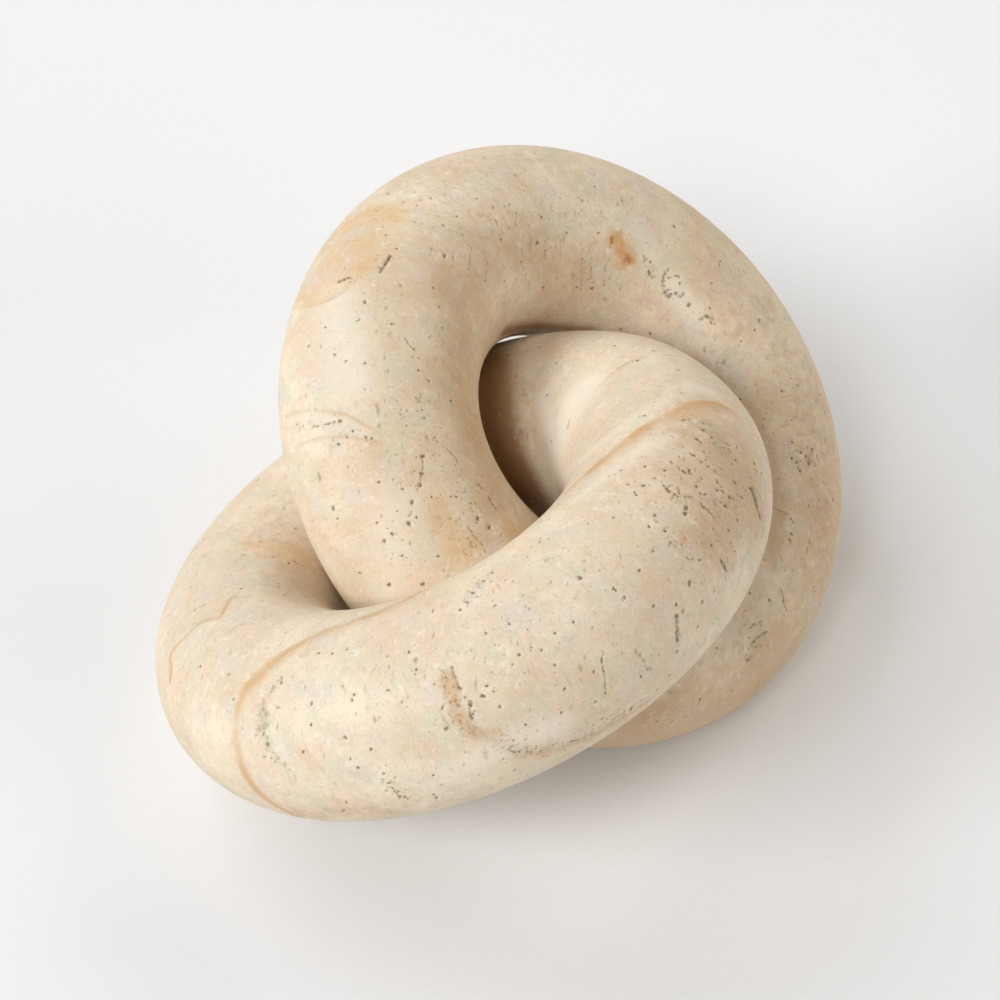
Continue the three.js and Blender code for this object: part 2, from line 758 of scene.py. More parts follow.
class StonePainter:
    """Puts a limestone material together, one layer over another."""

    def __init__(self, stone: Limestone, ring: RingPlace, bench: Bench) -> None:
        """Makes the patterns that the layers share, and the first colour.

        Args:
            stone: the finish.
            ring: the ring's place.
            bench: the material's tree.
        """
        self.stone = stone
        self.ring = ring
        self.bench = bench
        self.seen = bench.node("ShaderNodeTexCoord").outputs["Object"]
        self.place = bench.vector("ADD", self.seen, stone.shift)
        bent = bench.shake(self.place, 12 * MM, 8 * MM)
        self.patch = bench.blotch(bent, stone.patch_width, 4.0, 0.6)
        self.mottle = bench.blotch(self.place, stone.mottle_width, 4.0, 0.62)
        self.grain = bench.blotch(self.place, stone.grain_width, 2.0, 0.6)
        wide = self.field(32 * MM, 0.7, 0.2, 0.5)
        self.colour = bench.mix(wide.step(0.36, 0.64), linear(stone.beige), linear(stone.cream))

    def field(self, width: float, *shift: float) -> Value:
        """A soft noise of its own for one tint."""
        moved = self.bench.vector("ADD", self.place, shift)
        return self.bench.blotch(moved, width, 3.0, 0.5) + self.mottle.swing(0.25)

    def lay(self, share: Value, paint: Paint) -> None:
        """Lays a paint over the colour by a share from 0 to 1."""
        self.colour = self.bench.mix(share, self.colour, linear(paint))

    def layer(self, pattern: Value, low: float, high: float, most: float, paint: Paint) -> None:
        """Lays a paint where a pattern is strong: none of it at low, most of it at high."""
        self.lay(pattern.step(low, high) * most, paint)

    def paint(self) -> None:
        """Lays all the layers and joins the colour, the roughness and the relief."""
        self.ground()
        self.patches()
        self.veins()
        streaks = self.tool_marks()
        self.lay(streaks * 0.45, self.stone.brown)
        dents = self.specks()
        rough = self.stone.roughness + self.mottle.swing(0.2) + dents * 0.25
        height = self.grain.swing(0.10) + self.mottle.swing(0.20) - dents * 0.35 - streaks * 0.08
        bump = self.bench.node("ShaderNodeBump", None, {
            "Strength": 0.6, "Distance": self.stone.relief, "Height": height})
        shader = self.bench.node("ShaderNodeBsdfPrincipled", None, {
            "Base Color": self.colour, "Roughness": rough, "Normal": bump.outputs[0],
            "Specular IOR Level": 0.3})
        self.bench.node("ShaderNodeOutputMaterial", None, {"Surface": shader.outputs[0]})

    def ground(self) -> None:
        """Lays the stone's own soft patches of tan, cream, peach, greenish, lilac and chalk."""
        stone = self.stone
        layers = (
            (self.patch, 0.46, 0.68, 0.38, stone.tan),
            (self.patch, 0.50, 0.30, 0.45, stone.cream),
            (self.field(11 * MM, 0.31, 0.07, 0.11), 0.48, 0.66, 0.46, stone.peach),
            (self.field(8 * MM, 0.05, 0.43, 0.27), 0.48, 0.66, 0.58, stone.moss),
            (self.field(7 * MM, 0.53, 0.13, 0.77), 0.52, 0.68, 0.50, stone.lilac),
            (self.mottle, 0.52, 0.72, 0.42, stone.tan),
            (self.mottle, 0.45, 0.28, 0.50, stone.chalk),
            (self.grain, 0.52, 0.74, 0.30, stone.tan),
            (self.grain, 0.47, 0.26, 0.35, stone.chalk),
        )
        for layer in layers:
            self.layer(*layer)

    def patches(self) -> None:
        """Lays the stains that the mesh stores, each with a more or less ragged edge: real stains, painted
        shade and painted light.
        """
        stone = self.stone
        ragged = self.patch.swing(0.9) + self.mottle.swing(1.6)
        layers = (
            # Tan: real stains, and painted shade on shaded sides and along the contact line.
            (Soil.TAN, 0.7, 0.05, 1.15, 0.55, stone.brown),
            # Painted shade where the rings meet and in the hole between them.
            (Soil.PAINTED_SHADE, 0.2, 0.05, 1.25, 0.82, stone.painted_shade),
            # Ochre: real stains, and a painted warm glow in the front ring's hole.
            (Soil.OCHRE, 1.0, 0.15, 1.05, 0.80, stone.ochre),
            # Chalk: real pale patches, and painted light in the front ring's hole and on its lower edge.
            (Soil.CHALK, 0.6, 0.15, 1.05, 0.80, stone.chalk),
            (Soil.ASH, 1.0, 0.20, 1.15, 0.62, stone.ash),
            (Soil.RUST, 1.0, 0.20, 0.95, 0.85, stone.rust),
            (Soil.RUST, 1.0, 0.85, 1.60, 0.75, stone.deep_rust),
        )
        for soil, raggedness, *layer in layers:
            uneven = ragged * raggedness
            self.layer(self.stored(soil) * (1.0 + uneven) + uneven * 0.15, *layer)

    def stored(self, what: Soil | Trait) -> Value:
        """A number that the mesh stores."""
        return self.bench.attribute(what.value)

    def veins(self) -> None:
        """Lays the veins that the mesh stores, uneven in width and strength."""
        bench, stone = self.bench, self.stone
        faintest, band_most, core_most = 0.4, 0.80, 0.86
        wander = bench.blotch(self.place, 5.5 * MM, 3.0).swing(1.5) + self.mottle.swing(1.1)
        fade = bench.blotch(self.place, 10 * MM, 2.0).step(0.30, 0.60) * (1 - faintest) + faintest
        share = self.stored(Trait.SHARE) * fade
        core = (self.stored(Trait.CORE) + wander).size().step(1.5, 0.2)
        depth = self.stored(Trait.BAND) + wander * 0.10
        band = depth.step(-0.06, 0.10) * depth.step(1.0, 0.05)
        paint = bench.mix(self.stored(Trait.WARMTH), linear(stone.vein_tan), linear(stone.rust))
        self.lay(band * share * band_most, stone.vein_tan)
        self.colour = bench.mix(core * share * core_most, self.colour, paint)

    def tool_marks(self) -> Value:
        """Faint short strokes across the bar, left by smoothing it by hand.

        Returns:
            1 in a stroke and 0 beside it.
        """
        bench, ring = self.bench, self.ring
        squeeze, stroke_width, field_width = 0.16, 0.9 * MM, 19 * MM
        offset = bench.vector("SUBTRACT", self.seen, tuple(ring.centre))
        lift = bench.scaled(tuple(ring.axis), bench.dot(offset, ring.axis))
        level = bench.vector("NORMALIZE", bench.vector("SUBTRACT", offset, lift))
        middle = bench.scaled(level, ring.ring_radius)
        section = bench.vector("SUBTRACT", offset, middle)
        drawn = bench.vector("ADD", middle, bench.scaled(section, squeeze))
        bent = bench.shake(drawn, 4 * MM, 1.2 * MM)
        strokes = bench.blotch(bent, stroke_width, 2.0, 0.6).step(0.60, 0.74)
        worked = self.stored(Soil.GRIT) * 0.8
        return strokes * bench.blotch(self.seen, field_width, 2.0).step(0.42, 0.66).most(worked)

    def specks(self) -> Value:
        """Scatters the small marks and fills the carved hollows.

        Returns:
            How deep the marks are, from 0 to 1.
        """
        bench, stone = self.bench, self.stone
        squeeze = 0.5
        long = bench.drawn_out(self.place, Vector(stone.grain).normalized(), squeeze)
        worked = self.stored(Soil.GRIT)
        extra = worked * 0.22
        bent = bench.shake(self.place, 3 * MM, 2 * MM)
        crumbled = bench.blotch(bent, 1.6 * MM, 5.0, 0.70).step(0.60, 0.69)
        ragged = crumbled * (worked.most(self.stored(Soil.ASH) * 1.2) * 0.8 + 0.2)
        carved = (self.stored(Soil.EARTH) + self.grain.swing(0.5)).step(0.08, 0.95)
        flecks = Speckle(2.1 * MM, 0.60 * MM, 0.30, 0.6, (0.3, 0.8, 0.5)).cover(bench, self.place, extra)
        self.lay(flecks * 0.20, stone.chalk)
        self.lay(ragged * 0.38, stone.slate)
        dents = carved
        dark_specks = (
            (Speckle(1.2 * MM, 0.30 * MM, 0.36, 0.6), 0.42, stone.slate, 0.4),
            (Speckle(2.6 * MM, 0.52 * MM, 0.28, 0.8, (0.2, 0.1, 0.3)), 0.48, stone.slate, 0.6),
            (Speckle(5.0 * MM, 0.55 * MM, 0.30, 0.9, (0.6, 0.4, 0.1)), 0.50, stone.earth, 0.8),
        )
        for speckle, most, paint, dent in dark_specks:
            cover = speckle.cover(bench, long, extra)
            self.lay(cover * most, paint)
            dents = dents.most(cover * dent)
        self.lay(carved * 0.85, stone.earth)
        return dents


@dataclass(frozen=True)
class Hollow:
    """One small round part of a pit or cut: its centre, its radius and depth, and its darkness.

    A depth of 0 makes a stained rim that isn't carved.
    """

    place: Vector
    radius: float
    depth: float
    dirt: float


class RingTree:
    """A geometry node tree with named inputs, run once on a mesh."""

    def __init__(self, name: str, mesh: bpy.types.Mesh | None = None) -> None:
        """Starts the tree.

        Args:
            name: the tree's name.
            mesh: what it works on, or None to start from nothing.
        """
        self.mesh = mesh or bpy.data.meshes.new(name)
        self.group = bpy.data.node_groups.new(name, "GeometryNodeTree")
        self.bench = Bench(self.group)
        self.group.interface.new_socket("Geometry", in_out="INPUT", socket_type="NodeSocketGeometry")
        self.group.interface.new_socket("Geometry", in_out="OUTPUT", socket_type="NodeSocketGeometry")
        self.entry = self.bench.node("NodeGroupInput")
        self.settings: dict[str, float | int] = {}

    @property
    def geometry(self) -> bpy.types.NodeSocket:
        """The mesh that the tree works on."""
        return self.entry.outputs[0]

    def named_input(self, name: str, kind: str, setting: float | int) -> bpy.types.NodeSocket:
        """Adds an input to the tree and remembers its setting by the socket's identifier.

        Args:
            name: the input's name.
            kind: its socket type.
            setting: its value.

        Returns:
            The socket that it comes in by.
        """
        socket = self.group.interface.new_socket(name, in_out="INPUT", socket_type=kind)
        self.settings[socket.identifier] = setting
        return self.entry.outputs[name]

    def number(self, name: str, setting: float) -> bpy.types.NodeSocket:
        """Adds a number as an input."""
        return self.named_input(name, "NodeSocketFloat", setting)

    def count(self, name: str, setting: int) -> bpy.types.NodeSocket:
        """Adds a whole number as an input."""
        return self.named_input(name, "NodeSocketInt", setting)

    def run(self, result: bpy.types.NodeSocket, material: bpy.types.Material | None) -> bpy.types.Mesh:
        """Evaluates the tree.

        Args:
            result: the geometry it ends in.
            material: what the result is made of, if it has faces.

        Returns:
            A plain mesh.
        """
        real = self.bench.node("GeometryNodeRealizeInstances", None, (result,))
        last = real.outputs[0]
        if material is not None:
            inputs = {"Geometry": last, "Material": material}
            last = self.bench.node("GeometryNodeSetMaterial", None, inputs).outputs[0]
        self.bench.node("NodeGroupOutput", None, (last,))
        holder = put(self.group.name, self.mesh)
        modifier = holder.modifiers.new(self.group.name, "NODES")
        modifier.node_group = self.group
        for identifier, setting in self.settings.items():
            modifier[identifier] = setting
        graph = bpy.context.evaluated_depsgraph_get()
        made = bpy.data.meshes.new_from_object(holder.evaluated_get(graph), depsgraph=graph)
        holder.modifiers.remove(modifier)
        bpy.data.objects.remove(holder)
        return made


@dataclass
class StoneRing:
    """One ring of the pair, with the methods that carve and dress it; lengths in metres."""

    name: str
    body: str
    node: str
    slot: str
    place: RingPlace
    other: RingPlace
    finish: Limestone
    marks: Marks
    view: PhotoView
    seed: int
    steps_around_ring: int = 240
    steps_around_bar: int = 96
    scattered: int = 330
    finest: float = 0.13 * MM
    coarsest: float = 4.0
    skin: float = 0.04 * MM
    wear: float = 0.08 * MM
    hollows: list[Hollow] = field(default_factory=list)

    def build(self) -> bpy.types.Object:
        """Carves and dresses the ring.

        Returns:
            The finished piece.
        """
        material = self.finish.build(self.place)
        plain = self.plain_ring(material)
        self.hollows = self.marked_hollows() + self.scattered_hollows(plain)
        piece = self.worn_ring(self.carve(plain), material)
        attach(piece, self.body)
        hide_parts(self.node)
        LOG.info("%s: %d hollows, %d faces", self.name, len(self.hollows), len(piece.data.polygons))
        return piece

    def plain_ring(self, material: bpy.types.Material) -> bpy.types.Mesh:
        """Makes the smooth ring in its resting place with a node tree.

        Args:
            material: the stone.

        Returns:
            A closed mesh.
        """
        tree = RingTree("plain_ring")
        bench = tree.bench
        radius = tree.number("Ring radius", self.place.ring_radius)
        bar = tree.number("Bar radius", self.place.bar_radius - self.skin)
        around = tree.count("Steps around ring", self.steps_around_ring)
        section = tree.count("Steps around bar", self.steps_around_bar)
        circle = "GeometryNodeCurvePrimitiveCircle"
        middle = bench.node(circle, None, {"Resolution": around, "Radius": radius})
        profile = bench.node(circle, None, {"Resolution": section, "Radius": bar})
        swept = bench.node("GeometryNodeCurveToMesh", None, {
            "Curve": middle.outputs[0], "Profile Curve": profile.outputs[0]})
        placed = bench.node("GeometryNodeTransform", None, {
            "Geometry": swept.outputs[0],
            "Translation": tuple(self.place.centre),
            "Rotation": tuple(self.place.matrix.to_euler()),
        })
        return tree.run(placed.outputs[0], material)

    def marked_hollows(self) -> list[Hollow]:
        """Lays out the ring's own pits and cuts.

        Returns:
            The hollows.
        """
        radius_share, length = 0.6, 1.7
        hollows = []
        for group in self.marks.pits:
            for point in group.route.points(self.view, self.place):
                hollows.extend(self.pit(point, group.width * MM * radius_share, length, group.dirt))
        for group in self.marks.flecks:
            hollows.extend(self.fleck_hollows(group))
        for cut in (*self.marks.cuts, *self.unseen_cuts()):
            hollows.extend(self.cut_hollows(cut))
        return hollows

    def fleck_hollows(self, group: Flecks) -> list[Hollow]:
        """Draws the chance pits of a group, thickest near its path.

        Args:
            group: the group.

        Returns:
            The hollows.
        """
        smallest = 0.15
        draw = random.Random(f"{self.seed} {group.name}")
        points = group.route.points(self.view, self.place, 6)
        hollows = []
        for _ in range(group.count):
            stray = Vector([draw.gauss(0, 0.5) for _ in range(3)]) * group.spread * MM
            placed, _ = self.place.project(np.array([tuple(draw.choice(points) + stray)]))
            radius = max(group.width * draw.uniform(0.25, 0.75), smallest) * MM
            dirt = group.dirt * draw.uniform(0.6, 1.1)
            hollows.extend(self.pit(Vector(placed[0]), radius, draw.uniform(0.8, 2.2), dirt))
        return hollows

    def unseen_cuts(self, count: int = 34) -> list[Cut]:
        """Draws chance cracks on the sides that the photograph lacks, so that all sides look alike.

        Args:
            count: how many are drawn; those that the photograph would show are left out.

        Returns:
            The cracks.
        """
        draw = random.Random(self.seed)
        cuts = []
        for index in range(count):
            start = (draw.uniform(-180, 180), draw.uniform(-180, 180))
            heading, length = draw.uniform(0, math.tau), draw.uniform(2, 9)
            bend = draw.uniform(-1, 1)
            # A degree round the ring is about 2.2 times as long as one round the bar.
            spots = [(start[0] + length * t * math.cos(heading + bend * t),
                      start[1] + 2.2 * length * t * math.sin(heading + bend * t)) for t in (0.0, 0.5, 1.0)]
            width, breaks = draw.uniform(0.25, 0.5), draw.uniform(0.15, 0.5)
            if not self.view.shows(self.place.at(*start), self.place, self.other):
                cuts.append(Cut(f"unseen {index}", degrees(*spots), width, breaks=breaks))
        return cuts

    def unseen_stains(self, count: int = 26) -> list[Stain]:
        """Draws chance stains on the sides that the photograph lacks.

        Args:
            count: how many are drawn; those that the photograph would show are left out.

        Returns:
            The stains.
        """
        draw = random.Random(self.seed + 1)
        stains = []
        for index in range(count):
            start = (draw.uniform(-180, 180), draw.uniform(-180, 180))
            reach = (draw.uniform(-9, 9), draw.uniform(-16, 16))
            soil = draw.choice((Soil.OCHRE, Soil.OCHRE, Soil.ASH, Soil.TAN, Soil.TAN, Soil.CHALK,
                                Soil.RUST))
            width = draw.uniform(1.6, 3.0) if soil is Soil.RUST else draw.uniform(5, 14)
            strength = draw.uniform(0.4, 0.9)
            spots = degrees(start, (start[0] + reach[0], start[1] + reach[1]))
            if not self.view.shows(self.place.at(*start), self.place, self.other):
                stains.append(Stain(f"unseen {index}", soil, spots, width, strength))
        return stains

    def scattered_hollows(self, plain: bpy.types.Mesh) -> list[Hollow]:
        """Scatters small pits over the ring with a node tree, thicker in some places.

        Args:
            plain: the smooth ring.

        Returns:
            The hollows.
        """
        tree = RingTree("scattered_pits", plain)
        bench = tree.bench
        area = 4 * math.pi ** 2 * self.place.ring_radius * self.place.bar_radius
        left_after_thinning, crowd_width = 0.4, 24 * MM
        spacing = tree.number("Least distance", 1.6 * MM)
        density = tree.number("Density", self.scattered / left_after_thinning / area)
        seed = tree.count("Seed", self.seed)
        crowd = bench.node("ShaderNodeTexNoise", None, {"Scale": 1 / crowd_width, "Detail": 2.0})
        share = Value(bench, crowd.outputs[0]).step(0.38, 0.72)
        scattered = bench.node("GeometryNodeDistributePointsOnFaces", {"distribute_method": "POISSON"}, {
            "Mesh": tree.geometry, "Distance Min": spacing, "Density Max": density,
            "Density Factor": share, "Seed": seed})
        size = bench.node("FunctionNodeRandomValue", {"data_type": "FLOAT"}, {"Seed": seed})
        kept = bench.node("GeometryNodeStoreNamedAttribute", {"data_type": "FLOAT", "domain": "POINT"}, {
            "Geometry": scattered.outputs[0], "Name": "bigness", "Value": size.outputs[1]})
        points = bench.node("GeometryNodePointsToVertices", None, {"Points": kept.outputs[0]})
        scatter = tree.run(points.outputs[0], None)
        bigness = np.zeros(len(scatter.vertices))
        scatter.attributes["bigness"].data.foreach_get("value", bigness)
        hollows = []
        for vertex, big in zip(scatter.vertices, bigness):
            radius = (0.16 + 0.24 * big ** 3) * MM
            length = 1.0 + 1.8 * (big * 7 % 1)
            dirt = 0.25 + 0.45 * (big * 13 % 1)
            hollows.extend(self.pit(vertex.co, radius, length, dirt))
        bpy.data.meshes.remove(scatter)
        return hollows

    def pit(self, place: Vector, radius: float, length: float, dirt: float) -> list[Hollow]:
        """One irregular pit of a few overlapping hollows.

        Args:
            place: where it is.
            radius: half its width, in metres.
            length: its length, as a multiple of its width.
            dirt: how dark it is, from 0 to 1.

        Returns:
            Its hollows.
        """
        spacing, stray, depth, rim, rim_dirt = 0.7, 0.6, 0.6, 1.7, 0.35
        lean = noise.noise_vector(place * 300)
        outward = self.place.outward(place)
        heading = (lean - outward * lean.dot(outward)).normalized()
        count = max(1, round(length * 2 - 1))
        hollows = []
        for index in range(count):
            step = (index - (count - 1) / 2) * spacing * radius
            uneven = abs(noise.noise(place * 900 + Vector((index, 0, 0))))
            push = noise.noise_vector(place * 700 + Vector((0, index, 0))) * radius * stray
            spot = place + heading * step + push
            hollows.append(Hollow(spot, radius * (0.75 + 0.7 * uneven), radius * depth, dirt))
        hollows.append(Hollow(place, radius * rim, 0.0, dirt * rim_dirt))
        return hollows

    def cut_hollows(self, cut: Cut) -> list[Hollow]:
        """Lays a row of hollows along a cut, wider and narrower by turns, with short breaks.

        Args:
            cut: the cut.

        Returns:
            The hollows, each with its stained rim.
        """
        step, smallest, rim, rim_dirt = 0.28, 0.12 * MM, 1.3, 0.45
        points = cut.route.points(self.view, self.place, 4)
        hollows = []
        for start, end in zip(points, points[1:]):
            count = max(1, round((end - start).length / (cut.width * step * MM)))
            for index in range(count):
                spot = start.lerp(end, index / count)
                if noise.noise(spot * 500) < cut.breaks * 1.4 - 0.7:
                    continue
                radius = cut.width * wave(spot, 2300, 0.62, 0.6) * MM
                dirt = cut.dirt * wave(spot, 1700, 0.85, 0.6)
                hollows.append(Hollow(spot, cut.width * rim * MM, 0.0, dirt * rim_dirt))
                spot = spot + noise.noise_vector(spot * 1900) * cut.width * cut.scatter * MM
                hollows.append(Hollow(spot, max(radius, smallest), cut.depth * MM, dirt))
        return hollows

    def carve(self, plain: bpy.types.Mesh) -> bpy.types.Mesh:
        """Refines the mesh round the marks, sinks the hollows and stores the stains and veins.

        Args:
            plain: the smooth ring.

        Returns:
            The carved mesh.
        """
        stains = [*self.marks.stains, *self.unseen_stains()]
        shape = bmesh.new()
        shape.from_mesh(plain)
        bmesh.ops.remove_doubles(shape, verts=shape.verts, dist=0.001 * MM)
        self.refine(shape, stains)
        bmesh.ops.recalc_face_normals(shape, faces=shape.faces)
        shape.to_mesh(plain)
        shape.free()
        points = np.zeros(len(plain.vertices) * 3)
        plain.vertices.foreach_get("co", points)
        surface, outward = self.place.project(points.reshape(-1, 3))
        depth, fill = self.sink(surface)
        lift = sum((swelling.lift(self.place, surface) for swelling in self.marks.swellings), -self.skin)
        plain.vertices.foreach_set("co", (surface + outward * (lift - depth)[:, None]).ravel())
        self.store(plain, Soil.EARTH.value, fill)
        for soil in Soil:
            if soil is not Soil.EARTH:
                self.store(plain, soil.value, self.stained(soil, stains, surface))
        for trait, values in self.veined(surface, outward).items():
            self.store(plain, trait.value, values)
        plain.update()
        return plain

    def refine(self, shape: bmesh.types.BMesh, stains: Sequence[Stain]) -> None:
        """Halves the edges near hollows and stains until they are fine enough for them.

        Args:
            shape: the ring.
            stains: the stains.
        """
        rounds, near_enough, fine_enough = 4, 0.55, 1.4
        carved = (hollow for hollow in self.hollows if hollow.depth)
        targets = [(hollow.place, hollow.radius, hollow.radius * 0.55) for hollow in carved]
        for stain in stains:
            if stain.width < self.coarsest:
                reach, fine = stain.width * MM * 0.7, max(stain.width * 0.12, 0.35) * MM
                points = stain.route.points(self.view, self.place, 5)
                targets.extend((point, reach, fine) for point in points)
        finder = search_tree([point for point, _, _ in targets])
        widest = max(reach for _, reach, _ in targets)
        for _ in range(rounds):
            chosen = []
            for edge in shape.edges:
                length = edge.calc_length()
                if length < 1.5 * self.finest:
                    continue
                middle = (edge.verts[0].co + edge.verts[1].co) / 2
                margin = length * near_enough
                for _, index, distance in finder.find_range(middle, widest + margin):
                    _, reach, fine = targets[index]
                    if distance < reach + margin and length > fine_enough * fine:
                        chosen.append(edge)
                        break
            if not chosen:
                break
            bmesh.ops.subdivide_edges(shape, edges=chosen, cuts=1, use_grid_fill=True)

    def sink(self, surface: np.ndarray) -> tuple[np.ndarray, np.ndarray]:
        """Depth of the hollows at each vertex.

        Args:
            surface: the vertices on the smooth surface.

        Returns:
            The depth in metres, and how much of a hollow each vertex is in, from 0 to 1.
        """
        reach, bottom, rim = 1.4, 0.25, 1.3
        finder = search_tree(surface)
        depth = np.zeros(len(surface))
        fill = np.zeros(len(surface))
        for hollow in self.hollows:
            for co, index, distance in finder.find_range(hollow.place, hollow.radius * reach):
                uneven = wave(co, 2600, 1, 0.5)
                share = 1 - smooth(distance * uneven / hollow.radius, bottom, rim)
                fill[index] = max(fill[index], share * hollow.dirt)
                depth[index] = max(depth[index], share * hollow.depth)
        return depth, fill

    def stained(self, soil: Soil, stains: Sequence[Stain], surface: np.ndarray) -> np.ndarray:
        """How strongly a soil colours each vertex.

        Args:
            soil: the soil.
            stains: all stains of the ring.
            surface: the vertices.

        Returns:
            One share for each vertex, 0 far away and the stain's strength in its middle.
        """
        steepness = 0.7
        share = np.zeros(len(surface))
        for stain in stains:
            if stain.soil is soil:
                path = [np.array(point) for point in stain.route.points(self.view, self.place, 5)]
                away, _, _ = self.measure(path, surface, surface)
                fall = np.exp(-steepness * (2 * np.abs(away) / (stain.width * MM)) ** 2)
                share = np.maximum(share, stain.strength * fall)
        return share

    @staticmethod
    def measure(
        path: Sequence[np.ndarray], surface: np.ndarray, outward: np.ndarray
    ) -> tuple[np.ndarray, np.ndarray, float]:
        """Distances from a path.

        Args:
            path: the path's points.
            surface: the vertices.
            outward: the outward directions there.

        Returns:
            Each vertex's distance, negative on the right of the path, how far along the path its
            nearest point is, and the path's length.
        """
        away = np.full(len(surface), np.inf)
        travel = np.zeros(len(surface))
        length = 0.0
        for start, end in zip(path, path[1:]):
            line = end - start
            span = np.linalg.norm(line)
            share = np.clip((surface - start) @ line / max(span * span, 1e-12), 0, 1)
            offset = surface - start - share[:, None] * line
            distance = np.linalg.norm(offset, axis=1)
            side = np.sign(np.einsum("ij,ij->i", np.cross(outward, line), offset))
            nearer = distance < np.abs(away)
            away[nearer] = (distance * np.where(side == 0, 1, side))[nearer]
            travel[nearer] = (length + share * span)[nearer]
            length += span
        return away, travel, length

    def veined(self, surface: np.ndarray, outward: np.ndarray) -> dict[Trait, np.ndarray]:
        """What the material needs to draw the veins.

        Args:
            surface: the vertices.
            outward: the outward directions there.

        Returns:
            Distance from the nearest vein's middle in half widths of its core, distance into its
            band, its strength and its warmth.
        """
        faintest_end, core_limit, band_limit = 0.15, 30, 3
        nearest = np.full(len(surface), np.inf)
        values = {trait: np.zeros(len(surface)) for trait in Trait}
        for vein in self.marks.veins:
            path = [np.array(point) for point in vein.route.points(self.view, self.place, 8)]
            away, travel, length = self.measure(path, surface, outward)
            taper = vein.taper * MM
            ends = smooth(travel, 0, taper) * (1 - smooth(travel, length - taper, length))
            near = 1 - smooth(np.abs(away), 7 * MM, 9 * MM)
            chosen = np.abs(away) < nearest
            nearest[chosen] = np.abs(away)[chosen]
            here = {
                Trait.CORE: np.clip(away / (vein.core * MM / 2), -core_limit, core_limit),
                Trait.BAND: np.clip(away / (vein.band * MM), -band_limit, band_limit),
                Trait.SHARE: (faintest_end + (1 - faintest_end) * ends) * vein.strength * near,
                Trait.WARMTH: np.full(len(surface), vein.warmth),
            }
            for trait, result in here.items():
                values[trait][chosen] = result[chosen]
        return values

    @staticmethod
    def store(mesh: bpy.types.Mesh, name: str, values: np.ndarray) -> None:
        """Keeps one number for each vertex under a name."""
        layer = mesh.attributes.new(name, "FLOAT", "POINT")
        layer.data.foreach_set("value", values.astype(np.float32))

    def worn_ring(self, carved: bpy.types.Mesh, material: bpy.types.Material) -> bpy.types.Object:
        """Adds the slight unevenness of hand smoothing and the ground foot with a node tree.

        Args:
            carved: the ring with its hollows.
            material: the stone.

        Returns:
            The finished piece, not yet riding on a body.
        """
        tree = RingTree("worn_ring", carved)
        bench = tree.bench
        wear = Value(bench, tree.number("Wear depth", self.wear))
        waviness = tree.number("Waves per metre", 60.0)
        floor = Value(bench, tree.number("Foot height", 0.0))
        normal = bench.node("GeometryNodeInputNormal").outputs[0]
        soft = bench.node("ShaderNodeTexNoise", None, {"Scale": waviness, "Detail": 1.0})
        waves = Value(bench, soft.outputs[0])
        moved = bench.node("GeometryNodeSetPosition", None, {
            "Geometry": tree.geometry, "Offset": bench.scaled(normal, waves * wear * -1.0)})
        where = bench.node("GeometryNodeInputPosition").outputs[0]
        parts = bench.node("ShaderNodeSeparateXYZ", None, (where,))
        height = Value(bench, parts.outputs[2]).most(floor)
        flat = bench.node("ShaderNodeCombineXYZ", None, (parts.outputs[0], parts.outputs[1], height))
        ground = bench.node("GeometryNodeSetPosition", None, {
            "Geometry": moved.outputs[0], "Position": flat.outputs[0]})
        mesh = tree.run(ground.outputs[0], material)
        mesh.name = self.name
        mesh.shade_smooth()
        return put(self.name, mesh)


@dataclass(frozen=True)
class Lamp:
    """A soft round lamp, aimed at the rings: angles in degrees, power in watts, aim in metres."""

    name: str
    azimuth: float
    elevation: float
    half_angle: float
    power: float
    tint: tuple[float, float, float]
    aim_height: float = 0.05

    def build(self, distance: float) -> None:
        """Hangs the lamp.

        Args:
            distance: how far away it is, in metres.
        """
        around, up = math.radians(self.azimuth), math.radians(self.elevation)
        direction = Vector((math.cos(around) * math.cos(up), math.sin(around) * math.cos(up), math.sin(up)))
        light = bpy.data.lights.new(self.name, "AREA")
        light.shape = "DISK"
        light.size = 2 * distance * math.tan(math.radians(self.half_angle))
        light.energy = self.power
        light.color = self.tint
        holder = put(self.name, light)
        holder.location = direction * distance + Vector((0, 0, self.aim_height))
        holder.rotation_euler = direction.to_track_quat("Z", "Y").to_euler()
        holder.visible_camera = False


COOL = (0.98, 1.0, 1.03)
WARM = (1.04, 0.99, 0.92)


